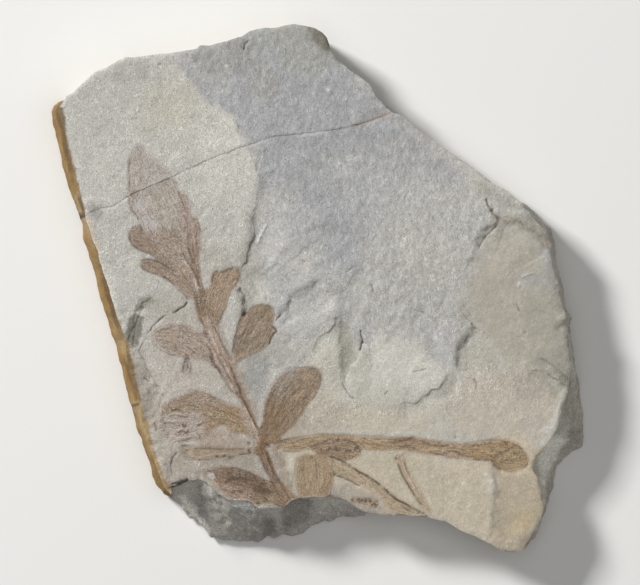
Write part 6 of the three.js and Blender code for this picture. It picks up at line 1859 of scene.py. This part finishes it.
class Value:
    """The output of a shader node, which joins others by arithmetic."""

    def __init__(self, graph, socket):
        self.graph = graph
        self.socket = socket

    def combined(self, operation, other):
        """Arithmetic with another value or number."""
        return self.graph.add("Math", {0: self, 1: other}, operation=operation)

    def __add__(self, other):
        return self.combined("ADD", other)

    def __sub__(self, other):
        return self.combined("SUBTRACT", other)

    def __mul__(self, other):
        return self.combined("MULTIPLY", other)

    def spread(self, low, high, to_low=0.0, to_high=1.0):
        """This value from low to high brought to another range, softly at its ends."""
        sockets = {"Value": self, "From Min": low, "From Max": high, "To Min": to_low, "To Max": to_high}
        return self.graph.add("MapRange", sockets, interpolation_type="SMOOTHSTEP")


class Graph:
    """Adds shader nodes to a material and joins them by their sockets."""

    def __init__(self, name):
        self.material = bpy.data.materials.new(name)
        self.material.use_nodes = True
        self.tree = self.material.node_tree
        self.shader = self.tree.nodes["Principled BSDF"]

    def feed(self, node, sockets):
        """Sets a node's sockets to numbers and colours, or joins them to other nodes' values."""
        for key, value in sockets.items():
            if isinstance(value, Value):
                self.tree.links.new(value.socket, node.inputs[key])
            else:
                node.inputs[key].default_value = value

    def add(self, kind, sockets, output=0, **settings):
        """One output of a new node with these settings and sockets."""
        node = self.tree.nodes.new("ShaderNode" + kind)
        for key, value in settings.items():
            setattr(node, key, value)
        self.feed(node, sockets)
        return Value(self, node.outputs[output])

    def look(self, name, output="Fac"):
        """One of the mesh's own attributes, as a number or as a `Vector`."""
        return self.add("Attribute", {}, output, attribute_name=name)

    def mix(self, share, first, second, blend="MIX"):
        """Two colours mixed."""
        colours = {0: share, 6: first, 7: second}
        return self.add("Mix", colours, 2, data_type="RGBA", blend_type=blend, clamp_result=False)

    def grey(self, value):
        """A number as a grey of that brightness."""
        return self.add("CombineColor", {0: value, 1: value, 2: value})

    def noise(self, place, size, detail=2.0, roughness=0.55, stretch=(1, 1, 1), turn=0.0):
        """Unevenness from 0 to 1 with lumps of a size in the units of its place."""
        scale = tuple(1 / (size * value) for value in stretch)
        turned = self.add("Mapping", {"Vector": place, "Rotation": (0, 0, turn), "Scale": scale})
        sockets = {"Vector": turned, "Scale": 1.0, "Detail": detail, "Roughness": roughness}
        return self.add("TexNoise", sockets)

    def creases(self, place, size, width, stretch=(1, 1, 1), turn=0.0):
        """1 along thin winding lines that run through the places, 0 elsewhere."""
        winding = self.noise(place, size, 2.0, 0.5, stretch, turn)
        return (winding - 0.5).combined("ABSOLUTE", 0.0).spread(0.0, width, 1.0, 0.0)

    def place(self):
        """The place on the object, in metres."""
        return self.add("TexCoord", {}, "Object")

    def finished(self, base, height, roughness, bump_strength):
        """The material, with colour, bump and roughness joined to its shader."""
        bumps = {"Height": height, "Strength": bump_strength, "Distance": BUMP_DISTANCE}
        normal = self.add("Bump", bumps)
        self.feed(self.shader, {"Base Color": base, "Roughness": roughness, "Normal": normal})
        self.shader.inputs["Specular IOR Level"].default_value = 0.25
        return self.material


def colour(tone):
    """A tone from 0 to 255 as a shader colour."""
    return (*linear(tone), 1.0)


def stone_finish(graph, grain_strength, streaks):
    """The stone's colour and height at a point, from the tone painted on the mesh."""
    place = graph.place()
    clouds = graph.noise(place, 0.007, 3.0)
    mottle = graph.noise(place, 0.0022, 3.0, 0.6)
    streaky = graph.noise(place, 0.0006, 2.0, 0.7, stretch=(1, 3.6, 1), turn=0.1)
    even = graph.noise(place, 0.00062, 2.0, 0.75, stretch=(1, 1.4, 1), turn=0.5)
    grain = graph.add("Mix", {0: streaks * 0.6, 2: even, 3: streaky}, data_type="FLOAT")
    fine = graph.noise(place, 0.00042, 1.0)
    patches = graph.noise(place, 0.0035, 2.0, 0.6).spread(0.45, 0.6)
    strokes = graph.creases(place, 0.0022, 0.035, (1, 1.6, 1), -0.6) * patches * grain_strength
    nicks = graph.creases(place, 0.0017, 0.03, (1, 1.4, 1), 0.9)
    nicks = nicks * mottle.spread(0.5, 0.62) * grain_strength

    value = clouds.spread(0.3, 0.7, 0.955, 1.04) * mottle.spread(0.3, 0.7, 0.95, 1.05)
    speckle = grain.spread(0.28, 0.72, 0.88, 1.12) * fine.spread(0.3, 0.7, 0.87, 1.13)
    value = value * ((speckle - 1.0) * grain_strength + 1.0) + strokes * 0.34 - nicks * 0.24
    for size, low, high, change in FLECKS:
        flecks = graph.noise(place, size, 1.0, 0.5, stretch=(1, 1.3, 1), turn=size * 5000)
        value = value + flecks.spread(low, high, 0.0, change) * grain_strength
    scales = graph.noise(place, 0.0016, 2.0, 0.6, stretch=(1, 2.2, 1), turn=-0.7)
    value = value + scales.spread(0.42, 0.66, -0.04, 0.13) * streaks
    ground = graph.mix(1.0, graph.look("tone", "Vector"), graph.grey(value), "MULTIPLY")
    warm = graph.noise(place, 0.004, 4.0, 0.65).spread(0.55, 0.75, 0.0, 0.22)
    ground = graph.mix(warm, ground, colour(WARM_CLOUD))

    height = grain * 0.9 + fine * 0.45 + strokes * 0.55 - nicks * 0.55
    return ground, height * grain_strength + mottle * 1.2


def stone_material():
    """Fine limestone: painted tone, grain, strokes and nicks, with dirt and painted shade in its cracks.
    """
    graph = Graph("limestone")
    ground, height = stone_finish(graph, graph.look("grain"), graph.look("streaks"))
    # stains, pale chips, and dirt with painted shade at ledge feet, in cracks and in pits
    for look, tone in (("stain", STAIN), ("chips", FRESH_CHIP), ("dirt_and_shade", DIRT_AND_SHADE)):
        ground = graph.mix(graph.look(look), ground, colour(tone))
    roughness = graph.noise(graph.place(), 0.003).spread(0.3, 0.7, 0.82, 0.95)
    return graph.finished(ground, height, roughness, 0.75)


def film_material(name, contrast):
    """Brown leaf remains: fibres and mottling, worn through to the stone in places and at the margin."""
    graph = Graph(name)
    ground, stone_bumps = stone_finish(graph, 1.0, 0.0)
    leaf = graph.look("leaf", "Vector")
    place = graph.place()
    fibres = graph.noise(leaf, 1.0, 2.0, 0.6, stretch=(0.5, 4.0, 1))
    dark_threads = graph.creases(leaf, 1.0, 0.04, (0.8, 6.5, 1))
    light_threads = graph.creases(leaf, 1.0, 0.04, (0.8, 5.0, 1), 0.08)
    blotches = graph.noise(place, 0.0032, 3.0, 0.6)
    crumbs = graph.noise(place, 0.0006, 2.0, 0.7)
    dots = graph.noise(place, 0.00055, 1.0)

    value = fibres.spread(0.32, 0.68, 1 - 0.13 * contrast, 1 + 0.14 * contrast)
    value = value * blotches.spread(0.3, 0.7, 0.93, 1.07)
    value = value * crumbs.spread(0.3, 0.7, 1 - 0.24 * contrast, 1 + 0.27 * contrast)
    value = value - dark_threads * (0.26 * contrast) + light_threads * (0.26 * contrast)
    value = value - dots.spread(0.58, 0.70, 0.0, 0.36 * contrast)
    brown = graph.mix(1.0, graph.look("brown", "Vector"), graph.grey(value), "MULTIPLY")

    worn = (graph.look("worn") + crumbs.spread(0.3, 0.7)).spread(1.12, 1.5, 0.0, 0.6)
    margin = graph.look("margin") + crumbs.spread(0.25, 0.75, -0.45, 0.45)
    bare = worn.combined("MAXIMUM", margin.spread(-0.2, 0.7, 0.85, 0.0))
    base = graph.mix(bare, brown, ground)
    lighter = graph.mix(1.0, base, (1.6, 1.6, 1.6, 1.0), "MULTIPLY")
    base = graph.mix(graph.look("light"), base, lighter)
    base = graph.mix(graph.look("dark"), base, colour(LEAF_DARK))
    # darkened by the dirt and painted shade of the stone under the film
    base = graph.mix(graph.look("dirt_and_shade"), base, colour(DIRT_AND_SHADE))
    height = fibres * 0.7 + light_threads * 0.5 - dark_threads * 0.5 + stone_bumps * 0.5
    return graph.finished(base, height, blotches.spread(0.3, 0.7, 0.72, 0.88), 0.5)


# ---------------------------------------------------------------- floor, light and camera

# Rows of [name, place, size, power in watts].
LIGHTS = [["key", (-2100, 1700, 1700), 600, 130], ["fill", (300, -200, 1900), 1800, 11]]
SURROUND_STRENGTH = 0.17

PICTURE_CENTRE = (0.945, -1.743)  # the place on the face that lies in the middle of the picture
PICTURE_WIDTH = 268.8  # how much of the face's plane the picture is wide
CAMERA_HEIGHT = 6000.0  # above the floor
SENSOR_WIDTH = 36.0
CAMERA_REACH = (0.1, 20)  # the nearest and farthest that the camera sees, in metres
FLOOR_SIZE = 6000.0
FLOOR_DROP = 0.1  # how far the floor lies under the plate's back


def make_floor():
    """A plain pale floor under the plate."""
    bpy.ops.mesh.primitive_plane_add(size=FLOOR_SIZE * MM, location=(0, 0, -FLOOR_DROP * MM))
    floor = bpy.context.object
    floor.name = "floor"
    graph = Graph("pale_floor")
    graph.feed(graph.shader, {"Base Color": colour(FLOOR_TONE), "Roughness": 0.9})
    floor.data.materials.append(graph.material)
    floor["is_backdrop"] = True


def make_light(name, place, size, power):
    """A square soft light at a place in millimetres that shines at the middle of the plate."""
    lamp = bpy.data.lights.new(name, "AREA")
    lamp.shape = "SQUARE"
    lamp.size = size * MM
    lamp.energy = power
    holder = bpy.data.objects.new(name, lamp)
    bpy.context.scene.collection.objects.link(holder)
    holder.location = Vector(place) * MM
    holder.rotation_euler = (-holder.location).to_track_quat("-Z", "Y").to_euler()


def make_lights():
    """A key light from the upper left, a wide overhead fill and an even surround."""
    for name, place, size, power in LIGHTS:
        make_light(name, place, size, power)
    world = bpy.data.worlds.new("surround")
    bpy.context.scene.world = world
    world.use_nodes = True
    background = world.node_tree.nodes["Background"]
    background.inputs["Color"].default_value = colour(SURROUND_TONE)
    background.inputs["Strength"].default_value = SURROUND_STRENGTH
    bpy.context.scene.view_settings.view_transform = "Standard"


def make_camera():
    """A long lens that looks straight down on the plate."""
    lens = bpy.data.cameras.new("camera")
    lens.sensor_width = SENSOR_WIDTH
    lens.lens = SENSOR_WIDTH * (CAMERA_HEIGHT - FACE_LEVEL) / PICTURE_WIDTH
    lens.clip_start, lens.clip_end = CAMERA_REACH
    camera = bpy.data.objects.new("camera", lens)
    bpy.context.scene.collection.objects.link(camera)
    camera.location = Vector((*PICTURE_CENTRE, CAMERA_HEIGHT)) * MM
    bpy.context.scene.camera = camera


# ---------------------------------------------------------------- the whole

make_floor()
make_lights()
make_camera()

limestone = stone_material()
plate_columns = outer_columns()
build_fragment("slab_lower", fragment_columns(plate_columns, upper=False), limestone)
build_fragment("slab_upper", fragment_columns(plate_columns, upper=True), limestone)
film_materials = {
    "leaf_film": film_material("leaf_remains", 1.0),
    "faded_film": film_material("faded_leaf_remains", 0.8),
    "dark_film": film_material("dark_leaf_remains", 1.3),
}
for film_number, (film_name, film_row) in enumerate(FILMS.items()):
    build_film(film_number, film_name, film_materials[film_row[0]])

boxes = {"cad": CAD_BOX, "visual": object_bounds()}
{key: [list(corner) for corner in box] for key, box in boxes.items()}
